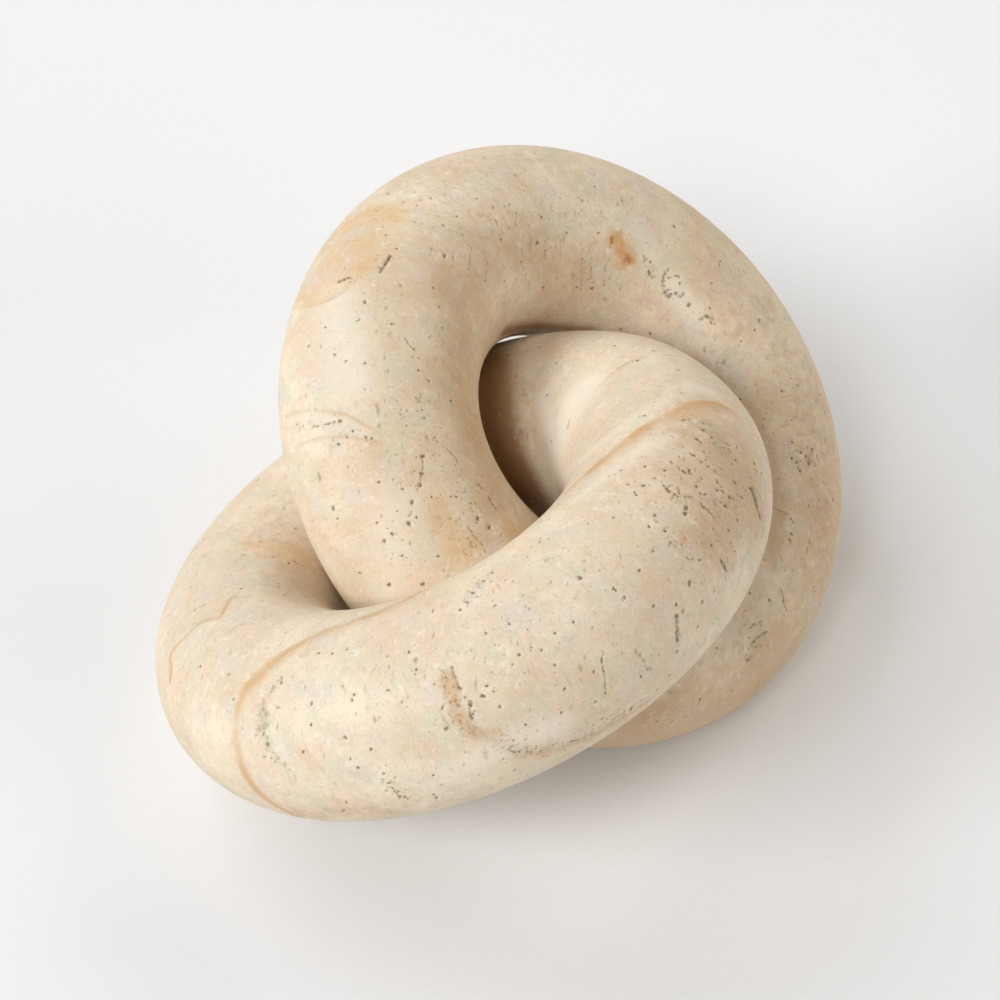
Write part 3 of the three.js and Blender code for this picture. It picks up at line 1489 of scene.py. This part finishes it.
@dataclass(frozen=True)
class Studio:
    """The pale floor and the soft light, lengths in metres."""

    floor_size: float = 12.0
    floor_paint: Paint = (237, 237, 237)
    lamp_distance: float = 5.0
    lamps: tuple[Lamp, ...] = (
        Lamp("window_lamp", 238, 24, 11, 136, COOL),
        Lamp("front_lamp", 271, 44, 11, 101, COOL),
        Lamp("left_lamp", 180, 42, 22, 96, COOL),
        Lamp("back_left_lamp", 120, 20, 22, 86, WARM),
        Lamp("back_right_lamp", 60, 42, 22, 69, WARM),
        Lamp("right_lamp", 0, 20, 22, 73, WARM),
    )

    def build(self) -> None:
        """Makes the floor, the lamps and the world."""
        self.floor()
        for lamp in self.lamps:
            lamp.build(self.lamp_distance)
        self.world()

    def floor(self) -> None:
        """Lays a plain pale floor under the rings."""
        half = self.floor_size / 2
        mesh = bpy.data.meshes.new("floor")
        corners = [(-half, -half, 0), (half, -half, 0), (half, half, 0), (-half, half, 0)]
        mesh.from_pydata(corners, [], [(0, 1, 2, 3)])
        material = bpy.data.materials.new("pale_floor")
        bench = Bench.of(material)
        shader = bench.node("ShaderNodeBsdfPrincipled", None, {
            "Base Color": linear(self.floor_paint), "Roughness": 0.9, "Specular IOR Level": 0.1})
        bench.node("ShaderNodeOutputMaterial", None, {"Surface": shader.outputs[0]})
        mesh.materials.append(material)
        floor = put("floor", mesh)

    def world(self) -> None:
        """Makes the background beyond the floor white to the camera, without adding any light."""
        world = bpy.data.worlds.new("studio")
        bench = Bench.of(world)
        seen = bench.node("ShaderNodeLightPath").outputs["Is Camera Ray"]
        sky = bench.node("ShaderNodeBackground", None, {"Color": (1, 1, 1, 1), "Strength": seen})
        bench.node("ShaderNodeOutputWorld", None, {"Surface": sky.outputs[0]})
        bpy.context.scene.world = world


# Short tool strokes above the hole: the pixel that each starts at, and how many pixels it runs down.
HOLE_STROKES: tuple[tuple[int, int, int], ...] = (
    (562, 240, 22), (575, 262, 28), (583, 250, 40), (592, 255, 32), (546, 246, 20), (532, 236, 16),
    (518, 208, 18), (503, 226, 16), (552, 206, 14), (488, 262, 20), (471, 254, 22), (606, 262, 24),
    (527, 268, 18), (455, 250, 18))

BACK_MARKS = Marks(
    pits=(
        Pits("crown", 0.5, pixels(
            (622, 200), (592, 168), (595, 186), (567, 233), (599, 233), (577, 288), (535, 153), (477, 198),
            (496, 220), (517, 213), (444, 225), (431, 198), (387, 193), (417, 205), (457, 216), (542, 217))),
        Pits("crown, large", 0.75, pixels(
            (592, 289), (538, 243), (544, 288), (445, 256), (620, 330), (675, 226))),
        Pits("by the hook", 0.5, pixels(
            (651, 262), (680, 283), (712, 283), (721, 261), (650, 334), (710, 308))),
        Pits("hook pit", 1.1, pixels((689, 305),)),
        Pits("right limb", 0.55, pixels(
            (760, 320), (755, 330), (741, 341), (798, 385), (782, 391), (740, 399), (825, 412), (792, 458),
            (792, 534), (790, 540), (815, 592), (750, 593), (731, 613), (700, 700), (672, 722), (655, 735),
            (833, 500), (838, 460), (732, 691), (717, 648), (657, 722))),
        Pits("right limb cluster", 0.75, pixels(
            (800, 470), (806, 456), (812, 449), (801, 452), (809, 463), (797, 462), (748, 660), (770, 600))),
        Pits("left shoulder", 0.5, pixels(
            (386, 235), (376, 210), (397, 248), (325, 327), (308, 346), (346, 361), (365, 363), (335, 354),
            (434, 288), (440, 307), (443, 328), (430, 337), (419, 370), (451, 400))),
        Pits("left shoulder, large", 0.8, pixels((365, 302), (344, 279), (339, 281))),
        Pits("left limb", 0.5, pixels(
            (303, 426), (328, 424), (353, 431), (347, 437), (366, 437), (372, 438), (338, 444), (337, 519),
            (379, 482), (403, 489), (377, 523), (359, 573), (402, 556), (438, 556), (432, 497), (457, 497))),
        Pits("left limb, large", 0.8, pixels(
            (340, 421), (333, 509), (423, 456), (422, 473), (421, 485), (412, 502), (409, 523), (392, 534),
            (384, 542), (423, 585), (389, 585), (478, 518), (490, 527))),
    ),
    flecks=(
        Flecks("crown flecks", pixels((440, 200), (500, 200), (560, 230), (620, 290)), 16.0, 60, 0.34, 0.6),
        Flecks("hook flecks", pixels((664, 276), (666, 290), (674, 297)), 1.2, 12, 0.5, 0.8),
        Flecks("hook side flecks", pixels((690, 306), (705, 316), (716, 322)), 2.4, 9, 0.42, 0.75),
        Flecks("curl flecks", pixels((648, 266), (654, 274)), 1.6, 6, 0.36, 0.6),
        Flecks("hole edge flecks", pixels(
            (405, 395), (430, 440), (455, 485), (485, 530)), 6.0, 60, 0.38, 0.65),
        Flecks("limb orange flecks", pixels((440, 505), (462, 535), (480, 550)), 5.0, 34, 0.34, 0.6),
        Flecks("limb flecks", pixels((395, 440), (410, 500), (395, 560)), 6.0, 40, 0.36, 0.65),
        Flecks("right cluster flecks", pixels((798, 450), (810, 462)), 3.6, 14, 0.5, 0.75),
        Flecks("moss flecks", pixels((752, 626), (760, 640), (748, 652)), 4.0, 22, 0.42, 0.7),
        Flecks("right limb flecks", pixels(
            (760, 330), (800, 400), (815, 500), (800, 590)), 12.0, 55, 0.34, 0.6),
        Flecks("patch flecks", pixels((350, 280), (375, 262)), 5.0, 14, 0.34, 0.6),
        Flecks("arc flecks", pixels((300, 428), (340, 430), (372, 440)), 2.0, 12, 0.34, 0.6),
    ),
    cuts=(
        Cut("hook", pixels((668, 269), (663, 281), (666, 292), (671, 298)), 0.6, 0.2, 0.1),
        Cut("hook arm", pixels((669, 278), (674, 276), (680, 277)), 0.5, 0.2, 0.1),
        Cut("hook foot", pixels((675, 294), (681, 297), (683, 294)), 0.6, 0.2, 0.0),
        Cut("short curl", pixels((649, 270), (650, 274), (653, 278)), 0.5, 0.18, 0.1),
        *(Cut(f"stroke {x}", pixels((x, y), (x - 1, y + long / 2), (x - 2, y + long)),
              0.40, 0.06, 0.3, 0.6, 0.5) for x, y, long in HOLE_STROKES),
        Cut("lower dash", pixels((700, 320), (706, 316), (713, 319)), 0.6, 0.18, 0.1),
        Cut("left scratch", pixels((391, 255), (386, 263), (380, 272)), 0.5, 0.35, 0.0, 0.3, 0.9),
        Cut("left scratch chip", pixels((379, 268), (383, 267)), 0.45, 0.25, 0.1),
        Cut("shoulder dash", pixels((405, 338), (410, 344), (416, 351)), 0.3, 0.15, 0.25),
        Cut("shoulder tick", pixels((413, 357), (421, 358)), 0.3, 0.15, 0.25),
        Cut("hole scratch", pixels((489, 496), (492, 502), (497, 509)), 0.4, 0.22, 0.15),
        Cut("hole scratch start", pixels((480, 485), (484, 491)), 0.35, 0.2, 0.2),
        Cut("hole scratch end", pixels((469, 528), (476, 537), (484, 546)), 0.35, 0.18, 0.35),
        Cut("limb line", pixels((437, 441), (451, 452), (460, 464)), 0.3, 0.15, 0.35),
        Cut("limb line upper", pixels((416, 397), (423, 403)), 0.3, 0.15, 0.3),
        Cut("limb line lower", pixels((421, 424), (429, 440)), 0.3, 0.15, 0.35),
        Cut("right crack", pixels((773, 508), (787, 514), (794, 523)), 0.28, 0.15, 0.2),
        Cut("moss pits", pixels((748, 630), (755, 625), (762, 621)), 0.45, 0.2, 0.45),
        Cut("moss pits lower", pixels((751, 645), (757, 638), (767, 632)), 0.45, 0.2, 0.45),
        Cut("brown smudge", pixels((780, 588), (783, 598), (786, 609)), 0.6, 0.12, 0.4),
        Cut("limb cluster", pixels((795, 448), (803, 458), (813, 453), (815, 466)), 0.4, 0.18, 0.5),
        Cut("patch smudge", pixels((337, 283), (344, 278), (354, 277)), 0.5, 0.15, 0.45),
        Cut("arc pits", pixels((296, 424), (310, 427), (326, 424), (341, 422)), 0.4, 0.15, 0.55),
        Cut("limb trail", pixels((422, 448), (423, 470), (417, 494), (408, 522)), 0.4, 0.18, 0.6),
    ),
    stains=(
        Stain("rust spot", Soil.RUST, pixels((619, 240), (622, 248), (625, 256)), 6.2, 0.95),
        Stain("rust spot core", Soil.RUST, pixels((627, 256), (631, 261)), 2.2, 1.5),
        Stain("rust spot rim", Soil.RUST, pixels((612, 238), (612, 243)), 1.3, 1.4),
        Stain("spot pale", Soil.CHALK, pixels((638, 228), (648, 242), (652, 255)), 7.0, 0.5),
        Stain("patch top", Soil.OCHRE, pixels((345, 226), (368, 212), (396, 214)), 8.0, 0.90),
        Stain("patch middle", Soil.OCHRE, pixels((335, 258), (358, 246), (384, 240)), 10.0, 0.60),
        Stain("patch edge", Soil.OCHRE, pixels((300, 298), (322, 292), (347, 280), (366, 262)), 6.0, 0.85),
        Stain("shoulder cream", Soil.CHALK, pixels((335, 300), (345, 335), (350, 375)), 16.0, 0.65),
        Stain("crown tan", Soil.TAN, pixels((455, 172), (500, 160), (550, 158)), 9.0, 0.5),
        Stain("crown grit", Soil.GRIT, pixels((440, 190), (520, 220), (600, 250)), 30.0, 1.0),
        Stain("hole grit", Soil.GRIT, pixels((410, 400), (445, 460), (485, 525)), 18.0, 0.9),
        Stain("limb grit", Soil.GRIT, pixels((790, 400), (812, 470), (810, 560), (760, 640)), 26.0, 1.0),
        Stain("scratch shade", Soil.ASH, pixels((390, 258), (381, 272)), 1.6, 0.4),
        Stain("green streak", Soil.ASH, pixels((378, 285), (376, 300), (375, 319)), 1.6, 0.55),
        Stain("limb orange", Soil.OCHRE, pixels((436, 505), (452, 530), (466, 552), (482, 536)), 8.0, 0.7),
        Stain("hole orange", Soil.OCHRE, pixels((488, 530), (506, 534), (520, 524)), 6.0, 0.7),
        Stain("moss cloud", Soil.ASH, pixels((752, 628), (760, 640), (750, 650)), 8.0, 0.65),
        Stain("limb ochre", Soil.OCHRE, pixels((790, 640), (798, 652)), 6.0, 0.55),
        Stain("limb cloud", Soil.ASH, pixels((800, 452), (812, 466)), 6.0, 0.4),
        Stain("hook cloud", Soil.CHALK, pixels((672, 282), (680, 300), (695, 312)), 7.0, 0.7),
        # Painted shade: darker, warmer tan on the shaded right limb.
        Stain("limb painted shade tan", Soil.TAN, pixels((800, 400), (822, 470), (826, 540), (812, 610)), 22, 0.8),
        # Painted shade under the front ring's lower right edge.
        Stain("limb painted shade tan lower", Soil.TAN, pixels((770, 670), (735, 705), (690, 730), (640, 740)), 24, 1.5),
        # Painted shade on the shaded top right.
        Stain("limb painted shade tan upper", Soil.TAN, pixels((720, 290), (760, 325), (790, 370)), 18, 0.7),
        # Painted shade on the inner side above the hole.
        Stain("hole painted shade tan", Soil.TAN, pixels((455, 300), (480, 265), (520, 250), (570, 270)), 16, 0.8),
        # Painted shade on the left limb's inner side.
        Stain("limb painted shade tan inner", Soil.TAN, pixels((455, 330), (458, 380), (470, 430), (495, 490)), 14, 0.9),
        # Painted shade in the crevice above the front ring's far limb.
        Stain("hole grime", Soil.PAINTED_SHADE, pixels((505, 331), (530, 327), (560, 328), (590, 331)), 4.2, 1.0),
        Stain("limb cream", Soil.CHALK, pixels((400, 505), (392, 545), (392, 590)), 15.0, 0.55),
        # Painted shadow along the line where the front ring leans on the back ring.
        Stain("leaning painted shadow", Soil.TAN, pixels(
            (690, 362), (735, 396), (765, 440), (778, 500), (772, 560)), 5.0, 1.0),
        # Painted shadow: the lower part of the same line, down towards the foot.
        Stain("leaning painted shadow lower", Soil.PAINTED_SHADE, pixels(
            (760, 590), (735, 630), (690, 682), (650, 716)), 6.0, 0.3),
        Stain("pale arc", Soil.CHALK, pixels((288, 420), (315, 417), (342, 422), (368, 433)), 2.6, 0.45),
    ),
    veins=(
        Vein("upper arc", pixels((284, 415), (303, 410), (321, 410), (346, 414), (372, 428), (398, 440)),
             0.8, -1.6, 0.0, 0.45),
        Vein("lower arc", pixels((290, 460), (298, 446), (316, 438), (340, 436), (375, 441), (413, 454)),
             0.8, -1.5, 0.0, 0.40),
        Vein("inner arc", pixels((334, 455), (346, 456), (361, 459)), 0.7, -1.0, 0.0, 0.4),
        Vein("patch rim", pixels((298, 306), (312, 306), (330, 300), (351, 286), (368, 266), (390, 250)),
             0.5, 2.5, 0.1, 0.6),
        Vein("back vein", degrees(
            (150, -10), (135, -40), (122, -80), (118, -120), (120, -160)), 0.9, 4.0, 0.4, 0.9),
        Vein("under vein", degrees((-60, -20), (-72, -60), (-90, -100), (-100, -150)), 0.8, -3.0, 0.3, 0.8),
        Vein("outer vein", degrees((60, 0), (66, -30), (78, -62), (96, -96)), 0.7, 2.0, 0.2, 0.7),
    ),
)

FRONT_MARKS = Marks(
    pits=(
        Pits("hollow", 0.6, pixels((557, 364), (546, 395), (540, 350), (615, 350), (600, 420))),
        Pits("shoulder", 0.7, pixels((655, 354), (638, 362), (644, 415))),
        Pits("right half, large", 0.85, pixels(
            (704, 430), (698, 439), (668, 489), (644, 485), (687, 507), (686, 513), (735, 482), (730, 497),
            (755, 463), (751, 488), (666, 531), (690, 584), (684, 471))),
        Pits("right half", 0.6, pixels(
            (628, 484), (637, 494), (645, 466), (621, 470), (635, 492), (675, 494), (678, 496), (723, 491),
            (725, 505), (726, 506), (750, 489), (762, 473), (728, 444), (712, 437), (656, 515), (650, 526),
            (702, 478), (709, 466), (695, 455), (716, 471), (742, 497), (738, 520), (729, 530), (712, 545),
            (700, 560), (715, 590), (640, 570), (581, 577), (654, 606), (616, 589), (625, 597), (703, 602),
            (690, 470), (665, 470), (655, 478), (672, 462), (705, 494), (697, 486), (718, 482), (733, 464))),
        Pits("below the right half", 0.65, pixels(
            (684, 611), (677, 605), (698, 628), (678, 652), (670, 676), (642, 677), (632, 710), (658, 690),
            (614, 588), (580, 577), (654, 551))),
        Pits("front face", 0.55, pixels(
            (487, 686), (494, 692), (500, 707), (519, 655), (541, 650), (574, 622), (556, 633), (555, 665),
            (565, 689), (562, 713), (526, 725), (495, 605), (510, 624), (486, 633), (596, 702), (594, 672),
            (442, 785), (434, 776), (416, 670), (409, 652), (388, 690), (354, 695), (371, 750), (350, 759))),
        Pits("front face, large", 0.8, pixels((483, 696), (447, 729), (460, 688), (471, 705), (472, 717))),
        Pits("grey row", 0.7, pixels((492, 572), (484, 580), (473, 592), (467, 602), (460, 609))),
        Pits("left end", 0.6, pixels(
            (228, 674), (233, 699), (200, 666), (296, 606), (318, 653), (347, 649), (311, 725), (345, 738),
            (352, 700), (358, 768), (195, 609), (303, 752), (332, 653), (311, 703), (241, 588))),
        Pits("lower cluster", 0.7, pixels((384, 774), (389, 784), (398, 792), (405, 798), (400, 797))),
    ),
    flecks=(
        Flecks("rust flecks", pixels((446, 674), (451, 700), (458, 722), (474, 735)), 1.7, 48, 0.46, 0.5),
        Flecks("rust side flecks", pixels((470, 700), (473, 716)), 0.8, 5, 0.5, 0.8),
        Flecks("right half flecks", pixels((650, 470), (690, 480), (735, 490)), 12.0, 80, 0.46, 0.65),
        Flecks("right middle cluster", pixels((668, 488), (682, 492)), 2.6, 12, 0.55, 0.75),
        Flecks("right outer cluster", pixels((722, 490), (735, 503)), 2.4, 12, 0.6, 0.8),
        Flecks("upper cluster", pixels((684, 468), (690, 474)), 1.8, 8, 0.5, 0.7),
        Flecks("lower right flecks", pixels((670, 545), (700, 560), (730, 560)), 8.0, 30, 0.4, 0.6),
        Flecks("vein side flecks", pixels((700, 428), (716, 440), (735, 455)), 4.0, 24, 0.5, 0.75),
        Flecks("left end cluster", pixels(
            (276, 680), (264, 702), (264, 722), (258, 734)), 1.8, 26, 0.42, 0.6),
        Flecks("left foot cluster", pixels((268, 745), (274, 758), (281, 766)), 1.8, 14, 0.42, 0.65),
        Flecks("lower cluster flecks", pixels((382, 774), (392, 786), (404, 798)), 2.2, 22, 0.46, 0.7),
        Flecks("lower rough flecks", pixels((497, 740), (512, 750), (544, 752)), 2.6, 44, 0.42, 0.65),
        Flecks("low green flecks", pixels((284, 790), (300, 796)), 2.0, 10, 0.34, 0.5),
        Flecks("round spot flecks", pixels((332, 800), (340, 806)), 1.6, 12, 0.32, 0.45),
        Flecks("grey row flecks", pixels((492, 570), (478, 588), (466, 602)), 2.4, 22, 0.42, 0.65),
        Flecks("face flecks", pixels((420, 660), (480, 640), (540, 640), (600, 600)), 16.0, 60, 0.36, 0.65),
        Flecks("lower right rows", pixels((553, 745), (600, 728), (645, 700)), 2.6, 44, 0.40, 0.65),
        Flecks("upper vein flecks", pixels((612, 376), (630, 364), (656, 354)), 0.9, 9, 0.34, 0.6),
    ),
    cuts=(
        Cut("right dash", pixels((753, 490), (756, 499), (758, 508)), 1.1, 0.3, 0.0, 0.3, 0.85),
        Cut("right dash foot", pixels((757, 506), (759, 513), (761, 519)), 0.75, 0.25, 0.0, 0.3, 0.85),
        Cut("right dash tail", pixels((762, 520), (763, 530), (761, 541)), 0.28, 0.12, 0.4),
        Cut("lower right dash", pixels((721, 559), (725, 566), (728, 572)), 0.8, 0.25, 0.0, 0.3, 0.8),
        Cut("right streak", pixels((700, 502), (708, 510), (716, 518)), 0.5, 0.2, 0.35),
        Cut("right curl", pixels((731, 542), (732, 548), (737, 553)), 0.3, 0.12, 0.3),
        Cut("vein dash", pixels((681, 421), (687, 419), (692, 419)), 0.4, 0.18, 0.1),
        Cut("right smear", pixels((671, 542), (682, 552), (692, 561)), 0.45, 0.15, 0.4),
        Cut("upper trail", pixels((690, 452), (702, 462), (712, 458), (722, 470)), 0.4, 0.18, 0.55),
        Cut("middle trail", pixels((664, 484), (676, 494), (690, 497), (703, 492)), 0.4, 0.18, 0.5),
        Cut("row of pits", pixels((677, 616), (678, 628), (678, 641)), 0.75, 0.28, 0.15, 0.6, 0.85),
        Cut("long crack upper", pixels((608, 633), (604, 650), (602, 659)), 0.25, 0.1, 0.4),
        Cut("long crack", pixels((602, 659), (605, 675), (606, 694)), 0.38, 0.2, 0.15),
        Cut("zigzag", pixels((636, 651), (645, 660), (647, 667), (652, 671)), 0.6, 0.18, 0.25, 1.0, 0.5),
        Cut("left cluster top", pixels((280, 676), (282, 682)), 0.45, 0.2, 0.2),
        Cut("left cluster arm", pixels((273, 686), (270, 693)), 0.5, 0.25, 0.2),
        Cut("left cluster", pixels((264, 699), (262, 710), (268, 714), (269, 720), (263, 728), (256, 731)),
            0.95, 0.2, 0.3, 1.2, 0.5),
        Cut("left cluster lower", pixels((267, 737), (267, 749), (264, 759)), 0.45, 0.2, 0.4),
        Cut("left cluster tail", pixels((275, 756), (279, 761), (282, 766)), 0.7, 0.2, 0.2, 1.0, 0.6),
        Cut("rust edge", pixels((452, 667), (455, 678), (459, 690)), 0.55, 0.2, 0.4),
        Cut("rust arc", pixels((471, 703), (470, 711), (472, 719)), 0.45, 0.2, 0.2),
        Cut("lower rough", pixels((499, 740), (507, 749), (522, 753), (540, 751)), 0.5, 0.18, 0.5),
        Cut("lower row", pixels((553, 745), (572, 742), (585, 738), (597, 733)), 0.4, 0.15, 0.5),
        Cut("lower right row", pixels((610, 723), (618, 717), (631, 709), (643, 700)), 0.45, 0.18, 0.45),
        Cut("pit tail", pixels((391, 787), (400, 796), (408, 799)), 0.5, 0.22, 0.4),
        Cut("spot edge", pixels((346, 801), (347, 806), (343, 812), (336, 814)), 0.3, 0.12, 0.4),
        Cut("low dash", pixels((432, 793), (438, 800)), 0.4, 0.18, 0.2),
        Cut("twin dash", pixels((540, 537), (540, 551)), 0.35, 0.18, 0.4),
        Cut("grey smear", pixels((205, 604), (201, 606), (196, 608)), 0.45, 0.12, 0.4),
    ),
    stains=(
        Stain("rust streak", Soil.OCHRE, pixels((449, 676), (453, 696), (459, 713), (466, 730)), 3.4, 0.42),
        Stain("rust streak shade", Soil.TAN, pixels(
            (448, 678), (452, 697), (460, 716), (477, 734)), 3.0, 1.5),
        Stain("rust streak middle", Soil.RUST, pixels(
            (447, 684), (452, 700), (459, 718), (476, 734)), 2.0, 0.45),
        Stain("rust streak flecks", Soil.GRIT, pixels(
            (447, 678), (452, 700), (459, 718), (478, 734)), 3.2, 1.8),
        Stain("rust smudge", Soil.RUST, pixels((681, 533), (683, 541)), 2.0, 0.6),
        Stain("rust smear", Soil.RUST, pixels((673, 545), (682, 553)), 1.4, 0.5),
        Stain("rust curl", Soil.RUST, pixels((641, 509), (645, 506), (649, 501)), 1.4, 0.55),
        Stain("far rust", Soil.RUST, pixels((170, 655), (171, 668), (170, 681)), 1.8, 0.8),
        Stain("round spot", Soil.OCHRE, pixels((335, 802), (338, 803)), 4.6, 0.5),
        Stain("vein swelling", Soil.OCHRE, pixels((250, 684), (262, 676), (268, 664)), 2.6, 0.9),
        Stain("right band", Soil.OCHRE, pixels((684, 414), (702, 412), (722, 418), (738, 432)), 5.0, 0.7),
        Stain("band shade", Soil.TAN, pixels((700, 420), (728, 440), (745, 470), (752, 510)), 16, 1.0),
        Stain("right tan", Soil.TAN, pixels((690, 470), (710, 500), (715, 540)), 16, 0.9),
        Stain("moss by vein", Soil.ASH, pixels((704, 424), (713, 436), (720, 448)), 6.5, 0.75),
        Stain("vein cream", Soil.CHALK, pixels((575, 500), (605, 476), (640, 450), (672, 436)), 4.5, 0.6),
        Stain("vein cream above", Soil.CHALK, pixels(
            (560, 478), (590, 452), (625, 424), (665, 400)), 5.0, 0.55),
        # Painted light on the lit band of the far limb inside the hole.
        Stain("hollow painted light", Soil.CHALK, pixels((542, 400), (552, 440), (562, 476)), 6.0, 0.8),
        # Painted warm glow of light on the same band.
        Stain("hollow painted glow", Soil.OCHRE, pixels((522, 385), (536, 430), (550, 470)), 4.5, 0.45),
        Stain("cluster cloud", Soil.ASH, pixels((272, 688), (264, 706), (262, 728), (267, 745)), 4.5, 0.55),
        Stain("cluster chalk", Soil.CHALK, pixels((275, 735), (283, 752), (290, 766)), 4.0, 0.45),
        Stain("lower cloud", Soil.ASH, pixels((505, 745), (530, 748)), 5.0, 0.45),
        Stain("lower rough tan", Soil.TAN, pixels((494, 738), (515, 751), (548, 751)), 4.0, 1.0),
        Stain("lower rough grit", Soil.GRIT, pixels((494, 738), (515, 751), (548, 751)), 5.0, 2.0),
        Stain("lower edge grit", Soil.GRIT, pixels((560, 748), (605, 728), (648, 700)), 4.0, 1.6),
        Stain("lower edge tan", Soil.TAN, pixels((560, 750), (605, 730), (648, 702)), 3.0, 0.7),
        Stain("low green", Soil.ASH, pixels((288, 792), (296, 795)), 4.0, 0.35),
        Stain("grey row cloud", Soil.ASH, pixels((492, 570), (480, 584), (468, 600)), 3.0, 0.5),
        Stain("right grey", Soil.ASH, pixels((728, 470), (745, 482), (752, 500)), 6.0, 0.45),
        Stain("shoulder lilac", Soil.CHALK, pixels((690, 385), (712, 392)), 6.0, 0.7),
        # Painted light: the wide lit band inside the hole.
        Stain("hollow painted bright band", Soil.CHALK, pixels(
            (556, 462), (562, 430), (572, 405), (585, 390)), 13.0, 0.8),
        # Painted shadow: the back ring's left limb shades the far limb here.
        Stain("hollow grime", Soil.PAINTED_SHADE, pixels(
            (491, 368), (494, 405), (502, 440), (517, 473), (531, 497)), 11.5, 1.4),
        # Painted shade at the top of the same shadow.
        Stain("hollow painted shade tan", Soil.TAN, pixels((500, 350), (512, 365)), 8.0, 0.5),
        Stain("right shade", Soil.TAN, pixels((690, 438), (712, 448), (730, 470)), 12.0, 1.2),
        # Painted shade in the crease where the back ring passes through.
        Stain("end grime", Soil.PAINTED_SHADE, pixels((326, 572), (336, 590), (343, 602)), 4.0, 0.7),
        Stain("right grit", Soil.GRIT, pixels((700, 430), (715, 480), (710, 540)), 30.0, 1.0),
        Stain("face grit", Soil.GRIT, pixels((480, 600), (540, 680), (620, 650)), 30.0, 0.6),
        Stain("inner ochre", Soil.OCHRE, pixels((250, 540), (280, 552), (305, 560)), 9.0, 0.65),
        Stain("inner tan", Soil.TAN, pixels((270, 520), (300, 555), (292, 585)), 15, 0.6),
        Stain("low tan", Soil.TAN, pixels((300, 815), (350, 812), (400, 808)), 9.0, 0.7),
        # Painted light: light thrown up from the floor onto the lower edge.
        Stain("low cream", Soil.CHALK, pixels((450, 775), (510, 745), (560, 725)), 9.0, 0.7),
    ),
    veins=(
        Vein("right vein", pixels(
            (560, 496), (576, 482), (594, 466), (611, 452), (633, 434), (650, 423), (668, 415), (684, 406),
            (702, 402), (719, 404), (733, 411), (744, 423)), 2.0, -5.0, 0.30, 1.25),
        Vein("upper vein", pixels((590, 394), (602, 383), (614, 373), (626, 365), (638, 361), (656, 354)),
             0.9, -1.6, 0.0, 0.6),
        Vein("left vein", pixels(
            (430, 588), (418, 592), (391, 606), (355, 620), (320, 632), (293, 647), (271, 663), (252, 680),
            (241, 695), (236, 713), (234, 728)), 2.1, 3.6, 0.10, 0.9, 2.0),
        Vein("left vein foot", pixels(
            (234, 724), (235, 742), (240, 764), (250, 784), (266, 800), (284, 811), (300, 818)),
            2.4, 3.4, 0.50, 1.0, 2.0),
        Vein("far vein", pixels(
            (245, 587), (230, 600), (220, 617), (202, 622), (184, 638), (173, 650), (169, 662), (170, 681)),
            1.1, -1.6, 0.3, 0.9),
        Vein("under vein", degrees(
            (96, -52), (90, -80), (80, -110), (62, -140), (50, -170)), 1.0, 2.4, 0.35, 0.9),
        Vein("back vein", degrees(
            (-30, 20), (-42, -10), (-50, -50), (-46, -90), (-40, -130)), 0.9, -3.2, 0.4, 0.9),
        Vein("outer vein", degrees(
            (-150, -10), (-140, -40), (-120, -70), (-100, -100)), 0.7, 2.0, 0.2, 0.8),
    ),
    swellings=(Swelling(-93, 44, 58, 62, 1.6),),
)


def resting_places() -> tuple[RingPlace, RingPlace]:
    """Reads the two rings' places from the frame.

    Returns:
        The back ring's place, and the front ring's, which is the same turned half round.
    """
    joint = next(joint for joint in frame["joints"] if joint["name"] == "back_ring_turn")
    centre, axis = Vector(joint["pos_m"]), Vector(joint["axis"]).normalized()
    low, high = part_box("back_ring")
    bar_radius = 23.1 * MM
    ring_radius = (high[1] - low[1]) / 2 - bar_radius
    half_turn = Matrix.Rotation(math.pi, 3, "Z")
    back = RingPlace(centre, axis, ring_radius, bar_radius)
    return back, RingPlace(half_turn @ centre, half_turn @ axis, ring_radius, bar_radius)


def main() -> None:
    """Builds the camera, the rings and the studio in order."""
    logging.basicConfig(level=logging.INFO, format="%(message)s")
    # Without a seed of its own the vector noise starts from the clock and differs each time.
    noise.seed_set(NOISE_SEED)
    bpy.context.scene.view_settings.view_transform = "Standard"
    view = PhotoView()
    view.build()
    back, front = resting_places()
    back_stone = Limestone(
        "back_limestone", beige=(215, 192, 160), peach=(220, 189, 161), tan=(201, 170, 133),
        shift=(0.4, 0.1, 0.2))
    front_stone = Limestone("front_limestone")
    StoneRing("back_ring_stone", "back_ring", "back_ring", "back_limestone", back, front,
              back_stone, BACK_MARKS, view, seed=4).build()
    StoneRing("front_ring_stone", "front_ring", "front_ring", "front_limestone", front, back,
              front_stone, FRONT_MARKS, view, seed=9).build()
    Studio().build()


if __name__ == "__main__":
    main()
